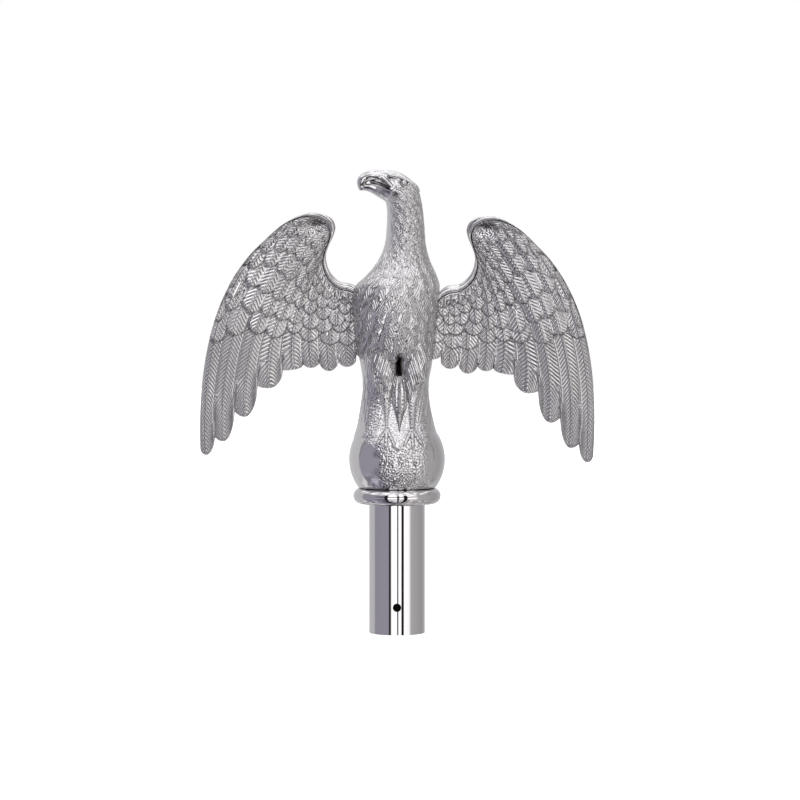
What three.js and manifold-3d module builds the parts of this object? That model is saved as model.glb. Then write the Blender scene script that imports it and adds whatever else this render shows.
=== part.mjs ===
// A chromed eagle finial for the top of a parade or indoor flagpole.
//
// A cast eagle perches on a stippled ball, with its head turned to one side and its wings
// raised and spread. Bird and ball are one casting. The ball stands on a polished collar
// ring, and a polished tube, the ferrule, runs up through the ring from below: the pole
// goes into it and a screw through the small hole holds it.
//
// Millimetres. +Z is up, the eagle's breast faces -Y, and +X is to the right of someone who
// looks at the breast, as are the words left and right. The origin is the centre of the
// ferrule's open lower end, which the finial also stands on.

import * as THREE from "three";
import { mergeVertices } from "three/addons/utils/BufferGeometryUtils.js";
import Module from "manifold-3d";

const wasm = await Module();
wasm.setup();

// Between two pieces that touch
const JOINT_GAP = 0.3;

// Ferrule
const POLE_D = 25.4;
const POLE_CLEARANCE = 0.4;
const FERRULE_WALL = 1.1;
const FERRULE_EXPOSED = 64.6;
const SCREW_HOLE_D = 4.2;
const SCREW_HOLE_HEIGHT = 13.8;
const SCREW_HOLE_TURN = -5;

// Collar ring, its width counted from the ferrule
const COLLAR_WIDTH = 7.9;
const COLLAR_HEIGHT = 8.2;
const COLLAR_BEAD = 4.4;

// Ball, with its centre above its flat foot by a share of its radius
const BALL_D = 48.2;
const BALL_RISE = 0.577;

// Eagle, its height counted from the ball's foot
const EAGLE_HEIGHT = 158;
const WING_SPAN = 198;
const WING_THICKNESS = 2.4;
const WING_ROLL = 1.1;
const WINGS_X = 1;
const WING_RIM_D = 4.4;
const FEATHER_LIFT = 1.2;
const BREAST_FEATHER_LIFT = 0.9;
const TOE_D = 3.4;
const EYE_D = 3.2;

const socketRadius = POLE_D / 2 + POLE_CLEARANCE / 2;
const ferruleRadius = socketRadius + FERRULE_WALL;
const collarRadius = ferruleRadius + COLLAR_WIDTH;
const collarTop = FERRULE_EXPOSED + COLLAR_HEIGHT;
const ballFoot = collarTop + JOINT_GAP;
const ballRadius = BALL_D / 2;
const ballCentre = ballFoot + BALL_RISE * ballRadius;

// The bird is a free form, drawn at this height and span. Its heights are counted from a
// level this far under the top of the ball that it stands on.
const DRAWN_HEIGHT = 158;
const DRAWN_SPAN = 198;
const DRAWN_UNDER_BALL_TOP = 38;
const formHeight = EAGLE_HEIGHT / DRAWN_HEIGHT;
const formSpan = WING_SPAN / DRAWN_SPAN;
const formBase = ballCentre + ballRadius - DRAWN_UNDER_BALL_TOP * formHeight;

const radians = THREE.MathUtils.degToRad;
const lerp = THREE.MathUtils.lerp;

function solid(geometry) {
  const bare = geometry.clone();
  bare.deleteAttribute("normal");
  bare.deleteAttribute("uv");
  const merged = mergeVertices(bare, 1e-4);
  return new wasm.Manifold(
    new wasm.Mesh({
      numProp: 3,
      vertProperties: new Float32Array(merged.attributes.position.array),
      triVerts: new Uint32Array(merged.index.array),
    }),
  );
}

function geometryOf(made) {
  const mesh = made.getMesh();
  const geometry = new THREE.BufferGeometry();
  geometry.setAttribute("position", new THREE.BufferAttribute(mesh.vertProperties, 3));
  geometry.setIndex(new THREE.BufferAttribute(mesh.triVerts, 1));
  geometry.computeVertexNormals();
  return geometry;
}

function union(solids) {
  return solids.reduce((whole, next) => whole.add(next));
}

// A closed skin over rings of points, each ring seen anticlockwise from its far end
function loft(rings) {
  const count = rings[0].length;
  const centre = (ring) =>
    ring.reduce((sum, p) => sum.add(p), new THREE.Vector3()).divideScalar(count);
  const points = [...rings.flat(), centre(rings[0]), centre(rings.at(-1))];
  const faces = ringFaces(rings.length, count);
  const top = (rings.length - 1) * count;
  for (let i = 0; i < count; i++) {
    const j = (i + 1) % count;
    faces.push(points.length - 2, j, i);
    faces.push(points.length - 1, top + i, top + j);
  }
  return shell(points, faces);
}

function ringFaces(rings, count) {
  const faces = [];
  for (let low = 0; low < (rings - 1) * count; low += count) {
    const high = low + count;
    for (let i = 0; i < count; i++) {
      const j = (i + 1) % count;
      faces.push(low + i, low + j, high + j, low + i, high + j, high + i);
    }
  }
  return faces;
}

function shell(points, faces) {
  const geometry = new THREE.BufferGeometry().setFromPoints(points);
  geometry.setIndex(faces);
  return geometry;
}

// Values between a table's rows, along a smooth curve through each column
function smoothRow(rows, share) {
  const place = Math.min(Math.max(share, 0), 1) * (rows.length - 1);
  const k = Math.min(Math.floor(place), rows.length - 2);
  const f = place - k;
  const at = (n) => rows[Math.min(Math.max(n, 0), rows.length - 1)];
  return rows[0].map((_, column) => {
    const [a, b, c, d] = [at(k - 1), at(k), at(k + 1), at(k + 2)].map((row) => row[column]);
    const leave = (c - a) / 2;
    const arrive = (d - b) / 2;
    const ease = f * f * (3 - 2 * f);
    return lerp(b, c, ease) + f * (1 - f) * (leave * (1 - f) - arrive * f);
  });
}

// Rings square to a spine in the XZ plane, at a place y. Rows: x, height, lean in degrees,
// half width, depth to the front, depth to the back.
function spineRings(rows, steps, sides, y = 0) {
  const rings = [];
  for (let step = 0; step <= steps; step++) {
    const row = smoothRow(rows, step / steps);
    const ring = [];
    for (let side = 0; side < sides; side++) {
      ring.push(spinePoint(row, (2 * Math.PI * side) / sides, y));
    }
    rings.push(ring);
  }
  return rings;
}

function spinePoint(row, angle, y, lift = 0) {
  const [x, height, lean, halfWidth, front, back] = row;
  const depth = Math.sin(angle) < 0 ? front : back;
  const across = Math.cos(angle) * (halfWidth * formHeight + lift);
  return new THREE.Vector3(
    x * formHeight + across * Math.cos(radians(lean)),
    y * formHeight + Math.sin(angle) * (depth * formHeight + lift),
    formBase + height * formHeight + across * Math.sin(radians(lean)),
  );
}

// Eagle's body, neck and head

const BODY_SPINE = [
  [-0.4, 20, 0, 20.4, 13, 14],
  [-0.6, 31, 0, 19.4, 9.5, 14],
  [-0.8, 42, 0, 17.3, 7, 13.5],
  [-0.6, 52, 0, 16.5, 7.5, 13],
  [-0.4, 61, 0, 17.8, 12.5, 13.5],
  [-0.7, 71, 0, 19.4, 17.5, 14.5],
  [-1.0, 82, 0, 20.6, 20.2, 16],
  [-0.9, 92, 0, 21.4, 20, 16.5],
  [0.2, 100, 0, 21.2, 18, 15.5],
  [2.4, 106, 0, 17.3, 15.6, 13.8],
  [3.5, 113, 0, 13, 12.8, 12],
  [4.1, 121, 0, 10.3, 10.6, 10.2],
  [4.3, 130, 0, 9.4, 9.2, 9],
  [3.9, 138, 7, 8.9, 8.5, 8.3],
  [2.9, 144, 18, 8.7, 8.3, 8.1],
  [0.8, 147.6, 31, 8.6, 8, 8],
  [-2.9, 150.4, 48, 8, 7.4, 7.4],
  [-6.8, 151.6, 68, 7, 6.2, 6.2],
  [-9.8, 151.8, 80, 6, 4.6, 4.6],
];

const UPPER_BEAK = [
  [-6.5, 155.2, 88, 2.8, 4.6, 4.6],
  [-11.5, 155.6, 96, 2.6, 4.1, 4.1],
  [-15.8, 154.4, 116, 2.5, 3.4, 3.4],
  [-17.9, 151.9, 148, 2.2, 2.6, 2.6],
  [-18.2, 149.4, 180, 1.5, 1.7, 1.7],
  [-17.5, 147.3, 196, 0.6, 0.7, 0.7],
];
const LOWER_BEAK = [
  [-4, 145.4, 62, 3.4, 5, 5],
  [-8.5, 147.6, 64, 3, 4, 4],
  [-12.5, 149.3, 68, 2.4, 3.3, 3.3],
  [-16, 150.2, 76, 1.4, 2.2, 2.2],
];
// Between the beak's halves, and set back from them, from the corner of the mouth forward
const TONGUE = [
  [-2, 149.6, 60, 3.4, 3, 3],
  [-8, 151.8, 72, 3, 2.4, 2.4],
  [-14, 152.6, 86, 2.2, 1.8, 1.8],
  [-17, 152.2, 90, 1.6, 1.2, 1.2],
];
// The open mouth's outline, cut into each cheek
const MOUTH = [
  [-4.4, 148.8],
  [-9, 152.9],
  [-13.4, 154],
  [-15.6, 152.8],
  [-15.4, 151.2],
  [-12, 150.7],
  [-8, 149.2],
];
const MOUTH_CORE = 4;
const MOUTH_CUT = 10;
const BEAK_SIDES = 8;
const BEAK_STEPS = 6;
const EYE = [3.4, 151.4, 6.9];
const BROW = [
  [6.2, 152.2, 30, 0.8, 1.2, 1.2],
  [0.6, 154.6, 48, 1.3, 1.8, 1.8],
  [-4.6, 155.6, 60, 0.9, 1.6, 1.6],
];
const BROW_Y = 6.2;
const BROW_STEPS = 4;
const BROW_SIDES = 6;

function bodyAndHead() {
  const beak = (rows) => solid(loft(spineRings(rows, BEAK_STEPS, BEAK_SIDES)));
  const mouth = new THREE.Shape(
    MOUTH.map(([x, height]) => new THREE.Vector2(x * formHeight, formBase + height * formHeight)),
  );
  const depth = MOUTH_CUT * formHeight;
  const mouthCuts = [-1, 1].map((side) => {
    const cut = new THREE.ExtrudeGeometry(mouth, { depth, bevelEnabled: false });
    cut.rotateX(Math.PI / 2);
    cut.translate(0, (side * MOUTH_CORE * formHeight) / 2 + (side > 0 ? depth : 0), 0);
    return solid(cut);
  });
  const eyesAndBrows = [-1, 1].flatMap((side) => {
    const [x, height, y] = EYE;
    const eye = new THREE.SphereGeometry((EYE_D / 2) * formHeight, 8, 6);
    eye.translate(x * formHeight, side * y * formHeight, formBase + height * formHeight);
    return [solid(eye), solid(loft(spineRings(BROW, BROW_STEPS, BROW_SIDES, side * BROW_Y)))];
  });
  const whole = union([feathered(), beak(UPPER_BEAK), beak(LOWER_BEAK), beak(TONGUE)]);
  return [whole.subtract(union(mouthCuts)), ...eyesAndBrows];
}

// Feathers overlap like tiles. A band of them ends in a scalloped line of tips, where it
// stands highest, and the next band starts low behind it. Every second band is staggered by
// half a feather. Bands: where the tips lie, how deep the scallops are, and how high the
// tips stand. The places run the way the feathers point.
const TILE_STEP = 0.004;
const TILE_ROOT_LIFT = 0.15;
const TILE_CROWN = 0.5;
const SCALLOP_ROUNDNESS = 2.2;

function tiledRows(bands, start, inner) {
  const rows = [];
  bands.forEach(([tip, depth, lift], band) => {
    const from = bands[band - 1] ?? [start, 0];
    for (const share of inner) rows.push({ band, share, from, to: [tip, depth], lift });
  });
  return rows;
}

// Where a row lies and how high it stands, at a place counted in feathers
function tiled(row, feather) {
  const across = (band) => {
    const place = feather + (band % 2) / 2;
    return Math.abs(2 * (place - Math.floor(place)) - 1);
  };
  const edge = ([tip, depth], band) => tip - depth * across(band) ** SCALLOP_ROUNDNESS;
  const from = edge(row.from, row.band - 1) + TILE_STEP;
  const to = edge(row.to, row.band);
  const crown = 1 - TILE_CROWN * across(row.band) ** 2;
  return [lerp(from, to, row.share), row.lift * lerp(TILE_ROOT_LIFT, 1, row.share) * crown];
}

// Breast and neck feathers, counted down from the throat. Shares of the spine.
const BODY_BANDS = [
  [0.36, 0.03, 0.8],
  [0.43, 0.035, 0.9],
  [0.5, 0.035, 1],
  [0.56, 0.035, 1],
  [0.62, 0.035, 1],
  [0.68, 0.035, 1],
  [0.74, 0.035, 1],
  [0.8, 0.05, 1],
];
const BODY_ABOVE = [0, 0.06, 0.12, 0.18, 0.24, 0.28];
const BODY_BELOW = [0.82, 0.87, 0.93, 1];
const BODY_FEATHERS = 9;
const SIDES_PER_FEATHER = 4;

function feathered() {
  const count = BODY_FEATHERS * SIDES_PER_FEATHER;
  const plain = (share) => ({ share, plain: true });
  const rows = [
    ...BODY_ABOVE.map(plain),
    ...tiledRows(BODY_BANDS, BODY_ABOVE.at(-1), [0, 1]),
    ...BODY_BELOW.map(plain),
  ];
  const rings = rows.map((row) => {
    const ring = [];
    for (let side = 0; side < count; side++) {
      const [down, lift] = row.plain ? [row.share, 0] : tiled(row, side / SIDES_PER_FEATHER);
      const angle = (2 * Math.PI * side) / count;
      ring.push(spinePoint(smoothRow(BODY_SPINE, 1 - down), angle, 0, lift * BREAST_FEATHER_LIFT));
    }
    return ring;
  });
  return solid(loft(rings.reverse()));
}

// Legs, toes and tail

const LEGS_X = 1.2;
const LEG = [
  [6.3, 25, 0, 3, 7, 5],
  [6.3, 30, 0, 2.8, 4.4, 5],
  [6.3, 36, 0, 2.4, 3, 5],
  [6.4, 42, 0, 2.5, 3, 4],
  [6.9, 47, 0, 3.6, 4, 4],
  [8.2, 54, 0, 6, 5.8, 5],
  [8.4, 62, 0, 6.6, 6, 6],
  [8, 72, 0, 5, 5, 6],
];
const LEGS_Y = -10.5;
const LEG_STEPS = 8;
const LEG_SIDES = 8;
const TOE_ENDS = [
  [12.4, 20.5],
  [7, 18.5],
  [1.9, 20.5],
];
const TOE_START = [6.3, 30];
const TOE_STEPS = 4;
const TOE_TAPER = 0.25;
const CLAW_TAPER = 0.75;
// A toe's section, in half widths: across, and up off the ball
const TOE_SECTION = [
  [0, -1],
  [1, 0.2],
  [0.6, 1.1],
  [-0.6, 1.1],
  [-1, 0.2],
];
const TAIL_FRONT = [
  [1.2, 27, 0, 0.6, 7.2, 5],
  [1.2, 37, 0, 3.2, 4.2, 5],
  [1.2, 48, 0, 3.4, 2.4, 5],
  [1.2, 62, 0, 3, 0.5, 5],
];
const TAIL_FRONT_Y = -9.5;
const TAIL_FRONT_STEPS = 6;
const TAIL_FEATHERS = 5;
const TAIL_FAN = 15;
const TAIL_ROOT = 74;
const TAIL_LENGTH = 52;
const TAIL_ROOT_Y = 10;
const TAIL_TIP_Y = 21.5;
const TAIL_FEATHER_WIDTH = 9;
// A tail feather's outline, as shares of its length and width, and its section, as a share
// of its half width and a depth
const TAIL_OUTLINE = [
  [0, 0.7],
  [0.5, 0.95],
  [0.88, 0.85],
  [1, 0.25],
];
const TAIL_SECTION = [
  [-1, 1.2],
  [0, 2.2],
  [1, 1.2],
  [1, -4],
  [-1, -4],
];

// A point on the ball's front at a place across and a height above the ball's foot
function ballFront(x, height, lift) {
  const radius = ballRadius + lift;
  const z = formBase + height * formHeight;
  const away = Math.sqrt(Math.max(radius ** 2 - (z - ballCentre) ** 2 - (x * formHeight) ** 2, 0));
  return new THREE.Vector3(x * formHeight, -away, z);
}

function toe([x, height], side) {
  const rings = [];
  for (let step = 0; step <= TOE_STEPS; step++) {
    const share = step / TOE_STEPS;
    const claw = step === TOE_STEPS ? 1 - CLAW_TAPER : 1;
    const half = (TOE_D / 2) * (1 - TOE_TAPER * share) * claw;
    const middle = LEGS_X + side * lerp(TOE_START[0], x, share);
    const level = lerp(TOE_START[1], height, share);
    rings.push(TOE_SECTION.map(([across, up]) => ballFront(middle + across * half, level, up * half)));
  }
  return solid(loft(rings));
}

function tailFeather(index) {
  const turn = radians(TAIL_FAN * ((2 * index) / (TAIL_FEATHERS - 1) - 1));
  const rings = TAIL_OUTLINE.map(([along, width]) => {
    const out = along * TAIL_LENGTH;
    const y = lerp(TAIL_ROOT_Y, TAIL_TIP_Y, along);
    return TAIL_SECTION.map(([side, away]) => {
      const across = (side * width * TAIL_FEATHER_WIDTH) / 2;
      const x = out * Math.sin(turn) + across * Math.cos(turn);
      const height = TAIL_ROOT - out * Math.cos(turn) + across * Math.sin(turn);
      return new THREE.Vector3(x, y + away, height).multiplyScalar(formHeight);
    });
  });
  return solid(loft(rings).translate(0, 0, formBase));
}

function legsAndTail() {
  const parts = [solid(loft(spineRings(TAIL_FRONT, TAIL_FRONT_STEPS, LEG_SIDES, TAIL_FRONT_Y)))];
  for (const side of [-1, 1]) {
    const rows = LEG.map(([x, ...rest]) => [LEGS_X + side * x, ...rest]);
    parts.push(solid(loft(spineRings(rows, LEG_STEPS, LEG_SIDES, LEGS_Y))));
    for (const end of TOE_ENDS) parts.push(toe(end, side));
  }
  for (let i = 0; i < TAIL_FEATHERS; i++) parts.push(tailFeather(i));
  return parts;
}

// Ball: a sphere cut flat where it stands on the collar

const BALL_SIDES = 30;
const BALL_STEPS = 8;

function ball() {
  const foot = Math.asin((ballFoot - ballCentre) / ballRadius);
  const profile = [new THREE.Vector2(0, ballFoot)];
  for (let step = 0; step < BALL_STEPS; step++) {
    const rise = lerp(foot, Math.PI / 2, step / BALL_STEPS);
    const out = ballRadius * Math.cos(rise);
    profile.push(new THREE.Vector2(out, ballCentre + ballRadius * Math.sin(rise)));
  }
  profile.push(new THREE.Vector2(0, ballCentre + ballRadius));
  return solid(upright(new THREE.LatheGeometry(profile, BALL_SIDES)));
}

// A turned shape's axis goes from three.js's Y to the finial's Z
function upright(geometry) {
  return geometry.rotateX(Math.PI / 2);
}

function eagle() {
  return union([ball(), ...bodyAndHead(), ...legsAndTail(), wing(-1), wing(1)]);
}

// Wings

// The rolled front edge from the flank, round the notch beside the neck and over the wrist
// to the outermost feather: x and height
const WING_EDGE = [
  [17, 94],
  [21.5, 99.6],
  [25.5, 101.4],
  [29.5, 101.9],
  [33.2, 104.6],
  [35.9, 108.8],
  [37, 114.5],
  [35.6, 119.7],
  [33.4, 124.6],
  [32.5, 129],
  [34.5, 133],
  [40, 135.4],
  [48, 135],
  [58.5, 129.6],
  [69.5, 119.6],
];
// Nine lines that the feathers follow from there. Rows: pull in the middle (x and height),
// feather tip (x and height), and y of the start, middle and tip.
const WING_LINES = [
  [16, 78, 13, 66, -1, 0, 1],
  [24, 80, 22.3, 61, -2, -1, 1],
  [35, 81, 31.9, 57.2, -3, -2, 1],
  [46, 83, 41.9, 58.6, -4.5, -3, 0.5],
  [57, 86, 52, 57.6, -6.5, -4.5, 0],
  [69, 89, 66, 46.4, -9, -6, -0.5],
  [82, 91, 79, 30, -12.5, -7, -0.5],
  [95, 92, 90, 17.6, -14, -6.5, 0],
  [102.5, 88, 98, 12.5, -11, -5, 1],
];

// A point of the wing: across from 0 at the flank to 1 at the outermost feather, along from
// 0 at the front edge to 1 at the feather tips, and a lift forward off the plate's middle
function wingPoint(across, along, lift) {
  const [edgeX, edgeZ] = smoothRow(WING_EDGE, across);
  const [pullX, pullZ, tipX, tipZ, ...y] = smoothRow(WING_LINES, across);
  const blend = (a, b, c) => lerp(lerp(a, b, along), lerp(b, c, along), along);
  const rootX = WING_EDGE[0][0];
  return new THREE.Vector3(
    rootX * formHeight + (blend(edgeX, pullX, tipX) - rootX) * formSpan,
    blend(...y) * formSpan - lift,
    formBase + blend(edgeZ, pullZ, tipZ) * formHeight,
  );
}

// Coverts from the rolled edge down, and last the flight feathers. Shares of the way from
// the rolled edge to the tips.
const FRONT_BANDS = [
  [0.15, 0.045, 0.8],
  [0.28, 0.05, 0.9],
  [0.42, 0.055, 1],
  [0.56, 0.06, 1],
  [0.71, 0.06, 1],
  [1, 0.09, 0.7],
];
const BACK_BANDS = [
  [0.42, 0.07, 1],
  [1, 0.09, 0.7],
];
const FLIGHT_FEATHERS = 9;
const COLUMNS_PER_FEATHER = 4;
// The rolled front edge's section: distance in from the edge, and lift, as shares of its
// diameter
const FRONT_ROLL = [
  [0, 0.1],
  [0.2, 0.42],
  [0.6, 0.5],
  [0.95, 0.1],
];
const BACK_ROLL = [
  [0, 0.1],
  [0.45, 0.4],
];
const ROLL_OUTER = 0.6;
const PLATE_TIP = 0.7;
const ROLL_PIVOT_HEIGHT = 77;

function wingRows(roll, bands) {
  return [
    ...roll.map(([from, lift]) => ({ rolled: true, from, lift })),
    ...tiledRows(bands.slice(0, -1), 0, [0, 1]),
    ...tiledRows(bands, 0, [0, 0.5, 1]).slice(-3),
  ];
}

// One line of a wing's face, across the feathers' share: how far along each of its points
// lies, and how high over the middle of the plate. The flight feathers aren't staggered.
function wingLine(rows, bands, across) {
  const length = wingPoint(across, 0, 0).distanceTo(wingPoint(across, 1, 0));
  const rollD = WING_RIM_D * lerp(1, ROLL_OUTER, across);
  const unstagger = ((bands.length - 1) % 2) / 2;
  return rows.map((row) => {
    if (row.rolled) return { along: (row.from * rollD) / length, lift: row.lift * rollD };
    const [share, lift] = tiled(row, across * FLIGHT_FEATHERS + unstagger);
    const along = lerp((FRONT_ROLL.at(-1)[0] * rollD) / length, 1, share);
    return { along, lift: (WING_THICKNESS / 2) * lerp(1, PLATE_TIP, along) + lift * FEATHER_LIFT };
  });
}

// One wing, drawn on the right and mirrored for the left. The pair rolls together, so the
// left one is a little higher.
function wing(side) {
  const columns = FLIGHT_FEATHERS * COLUMNS_PER_FEATHER;
  const frontRows = wingRows(FRONT_ROLL, FRONT_BANDS);
  const backRows = wingRows(BACK_ROLL, BACK_BANDS);
  const pivot = formBase + ROLL_PIVOT_HEIGHT * formHeight;
  const points = [];
  const places = [];
  const add = (across, along, lift) => {
    const point = wingPoint(across, along, lift);
    point.x *= side;
    point.z -= pivot;
    point.applyAxisAngle(new THREE.Vector3(0, 1, 0), radians(WING_ROLL));
    points.push(point.add(new THREE.Vector3(WINGS_X * formHeight, 0, pivot)));
    places.push(along);
  };
  for (let column = 0; column <= columns; column++) {
    const across = column / columns;
    const front = wingLine(frontRows, FRONT_BANDS, across);
    const back = wingLine(backRows, BACK_BANDS, across);
    for (const { along, lift } of front) add(across, along, lift);
    for (const { along, lift } of back.reverse()) add(across, along, -lift);
  }
  const count = frontRows.length + backRows.length;
  const faces = [
    ...ringFaces(columns + 1, count),
    ...endFaces(places, 0, frontRows.length, count),
    ...endFaces(places, columns * count, frontRows.length, count).reverse(),
  ];
  return solid(shell(points, side > 0 ? faces : faces.reverse()));
}

// Closes a wing's end between its front line and its back line, which runs the other way.
// Reversing the list turns the faces over.
function endFaces(places, first, frontCount, count) {
  const faces = [];
  const frontEnd = first + frontCount - 1;
  let i = first;
  let j = first + count - 1;
  while (i < frontEnd || j > frontEnd + 1) {
    const stepFront = j === frontEnd + 1 || (i < frontEnd && places[i + 1] < places[j - 1]);
    faces.push(i, j, stepFront ? i + 1 : j - 1);
    if (stepFront) i++;
    else j--;
  }
  return faces;
}

// Collar ring: a round bead with flat faces above and below, bored for the ferrule

const TURNED_SIDES = 36;
const BEAD_STEPS = 8;

function collarRing() {
  const bore = ferruleRadius + JOINT_GAP;
  const middle = collarRadius - COLLAR_BEAD;
  const profile = [new THREE.Vector2(bore, FERRULE_EXPOSED)];
  for (let step = 0; step <= BEAD_STEPS; step++) {
    const turn = lerp(-Math.PI / 2, Math.PI / 2, step / BEAD_STEPS);
    const z = FERRULE_EXPOSED + (COLLAR_HEIGHT / 2) * (1 + Math.sin(turn));
    profile.push(new THREE.Vector2(middle + COLLAR_BEAD * Math.cos(turn), z));
  }
  profile.push(new THREE.Vector2(bore, collarTop));
  profile.push(profile[0].clone());
  return solid(upright(new THREE.LatheGeometry(profile, TURNED_SIDES)));
}

// Ferrule: an open tube from the pole up to the ball's foot, with one screw hole in front

const DRILL_SIDES = 20;

function ferrule() {
  const wall = [
    new THREE.Vector2(socketRadius, 0),
    new THREE.Vector2(ferruleRadius, 0),
    new THREE.Vector2(ferruleRadius, collarTop),
    new THREE.Vector2(socketRadius, collarTop),
    new THREE.Vector2(socketRadius, 0),
  ];
  const tube = solid(upright(new THREE.LatheGeometry(wall, TURNED_SIDES)));
  const reach = ferruleRadius + 1;
  const drill = new THREE.CylinderGeometry(SCREW_HOLE_D / 2, SCREW_HOLE_D / 2, reach, DRILL_SIDES);
  drill.translate(0, -reach / 2, 0);
  drill.rotateZ(radians(SCREW_HOLE_TURN));
  drill.translate(0, 0, SCREW_HOLE_HEIGHT);
  return tube.subtract(solid(drill));
}

// Finishes: one bright chrome plate, mirror smooth on the turned parts

const castChrome = new THREE.MeshStandardMaterial({ color: 0xc9c9cf, roughness: 0.16, metalness: 1 });
const turnedChrome = new THREE.MeshStandardMaterial({ color: 0xd2d2d6, roughness: 0.05, metalness: 1 });

const finial = new THREE.Group();
const pieces = [
  ["ferrule", ferrule(), turnedChrome],
  ["collar_ring", collarRing(), turnedChrome],
  ["eagle", eagle(), castChrome],
];
for (const [name, made, finish] of pieces) {
  const piece = new THREE.Mesh(geometryOf(made), finish);
  piece.name = name;
  finial.add(piece);
}

export default finial;
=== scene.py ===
# A chromed eagle finial for a flagpole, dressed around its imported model. Sizes are in
# millimetres unless a comment says otherwise, and meshes are made in metres.

import math

import bmesh
import bpy
import numpy as np
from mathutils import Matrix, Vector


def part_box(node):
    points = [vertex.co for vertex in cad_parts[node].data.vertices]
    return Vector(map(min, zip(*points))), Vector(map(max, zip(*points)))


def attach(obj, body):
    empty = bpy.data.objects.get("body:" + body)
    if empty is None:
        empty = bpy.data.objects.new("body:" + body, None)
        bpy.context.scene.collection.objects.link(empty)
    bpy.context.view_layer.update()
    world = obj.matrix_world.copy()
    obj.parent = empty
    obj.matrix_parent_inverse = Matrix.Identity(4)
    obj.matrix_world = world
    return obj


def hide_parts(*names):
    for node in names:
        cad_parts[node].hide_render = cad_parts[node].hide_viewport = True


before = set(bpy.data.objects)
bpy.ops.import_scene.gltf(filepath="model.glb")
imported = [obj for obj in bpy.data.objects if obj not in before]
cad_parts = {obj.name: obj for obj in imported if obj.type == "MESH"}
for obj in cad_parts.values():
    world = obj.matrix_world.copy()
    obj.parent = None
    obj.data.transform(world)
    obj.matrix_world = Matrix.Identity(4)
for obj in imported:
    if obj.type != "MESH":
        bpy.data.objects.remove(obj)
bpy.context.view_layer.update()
bpy.ops.object.select_all(action="DESELECT")

# Ferrule
# The tube that the pole goes into: drawn brass, buffed and chromed, open at its lower end
# and fitted up through the collar ring. A screw through its one small hole holds the pole.

MM = 0.001
FERRULE_WALL = 1.1
SCREW_HOLE_D = 4.2
SCREW_HOLE_HEIGHT = 13.8
EDGE_BREAK = 0.25
TURNED_SIDES = 144

ferrule_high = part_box("ferrule")[1] / MM
ferrule_radius = ferrule_high.x
ferrule_height = ferrule_high.z


def apply_place(piece):
    """Puts a piece's place, turn and size into its mesh."""
    bpy.ops.object.select_all(action="DESELECT")
    piece.select_set(True)
    bpy.context.view_layer.objects.active = piece
    bpy.ops.object.transform_apply(location=True, rotation=True, scale=True)


def add_modifier(piece, kind, **settings):
    """Adds a modifier with its settings and applies it."""
    modifier = piece.modifiers.new(kind.lower(), kind)
    for name, value in settings.items():
        setattr(modifier, name, value)
    bpy.context.view_layer.objects.active = piece
    bpy.ops.object.modifier_apply(modifier=modifier.name)


def cut_or_join(piece, other, operation):
    """Joins another piece to this one or cuts it out, and uses it up."""
    add_modifier(piece, "BOOLEAN", operation=operation, object=other, solver="MANIFOLD")
    bpy.data.objects.remove(other)


bpy.ops.mesh.primitive_cylinder_add(
    vertices=TURNED_SIDES,
    radius=ferrule_radius * MM,
    depth=ferrule_height * MM,
    end_fill_type="NOTHING",
    location=(0, 0, ferrule_height * MM / 2),
)
ferrule_tube = bpy.context.object
ferrule_tube.name = "ferrule_tube"
apply_place(ferrule_tube)
add_modifier(ferrule_tube, "SOLIDIFY", thickness=FERRULE_WALL * MM, offset=-1)
bpy.ops.mesh.primitive_cylinder_add(
    vertices=48,
    radius=SCREW_HOLE_D / 2 * MM,
    depth=ferrule_radius * MM,
    rotation=(math.pi / 2, 0, 0),
    location=(0, -ferrule_radius * MM, SCREW_HOLE_HEIGHT * MM),
)
drill = bpy.context.object
apply_place(drill)
cut_or_join(ferrule_tube, drill, "DIFFERENCE")
add_modifier(ferrule_tube, "BEVEL", width=EDGE_BREAK * MM, segments=3, angle_limit=math.radians(50))


def round_normals(piece, radius):
    """Turns the wall's shading normals out square from the axis, which the hole disturbs."""
    mesh = piece.data
    normals = [list(corner.vector) for corner in mesh.corner_normals]
    for face in mesh.polygons:
        if math.hypot(face.normal.x, face.normal.y) < 0.99:
            continue
        for corner in face.loop_indices:
            x, y, _ = mesh.vertices[mesh.loops[corner].vertex_index].co
            if abs(math.hypot(x, y) - radius * MM) < 0.05 * MM and face.center.xy.dot((x, y)) > 0:
                if face.normal.xy.dot((x, y)) > 0.99 * math.hypot(x, y):
                    normals[corner] = (x, y, 0)
    mesh.normals_split_custom_set(normals)


def linear(hex_colour):
    """An sRGB hex value as the linear colour that a shader takes."""
    parts = [int(hex_colour[i : i + 2], 16) / 255 for i in (1, 3, 5)]
    return [c / 12.92 if c < 0.04045 else ((c + 0.055) / 1.055) ** 2.4 for c in parts] + [1]


def add_node(tree, kind, settings=(), **links):
    """A node with its settings; each link names an input and gives a socket or a value."""
    node = tree.nodes.new(kind)
    for name, value in dict(settings).items():
        setattr(node, name, value)
    for name, value in links.items():
        socket = node.inputs[int(name[1:])] if name[0] == "_" else node.inputs[name.replace("_", " ")]
        if isinstance(value, bpy.types.NodeSocket):
            tree.links.new(value, socket)
        else:
            socket.default_value = value
    return node


# Chrome plate over a buffed tube: a near mirror, whose only life is a faint turning mark
# that runs round it and a slow waver in what it reflects. The bore is rougher and painted
# dark, as painted shade for the inside of the tube.
CHROME = "#c8c6c7"
TURNING_MARK = 0.35
BUFFING_WAVER = 14
# The dark colour painted on the bore, as shade inside the tube
BORE_PAINTED_SHADE = "#35332c"

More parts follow.
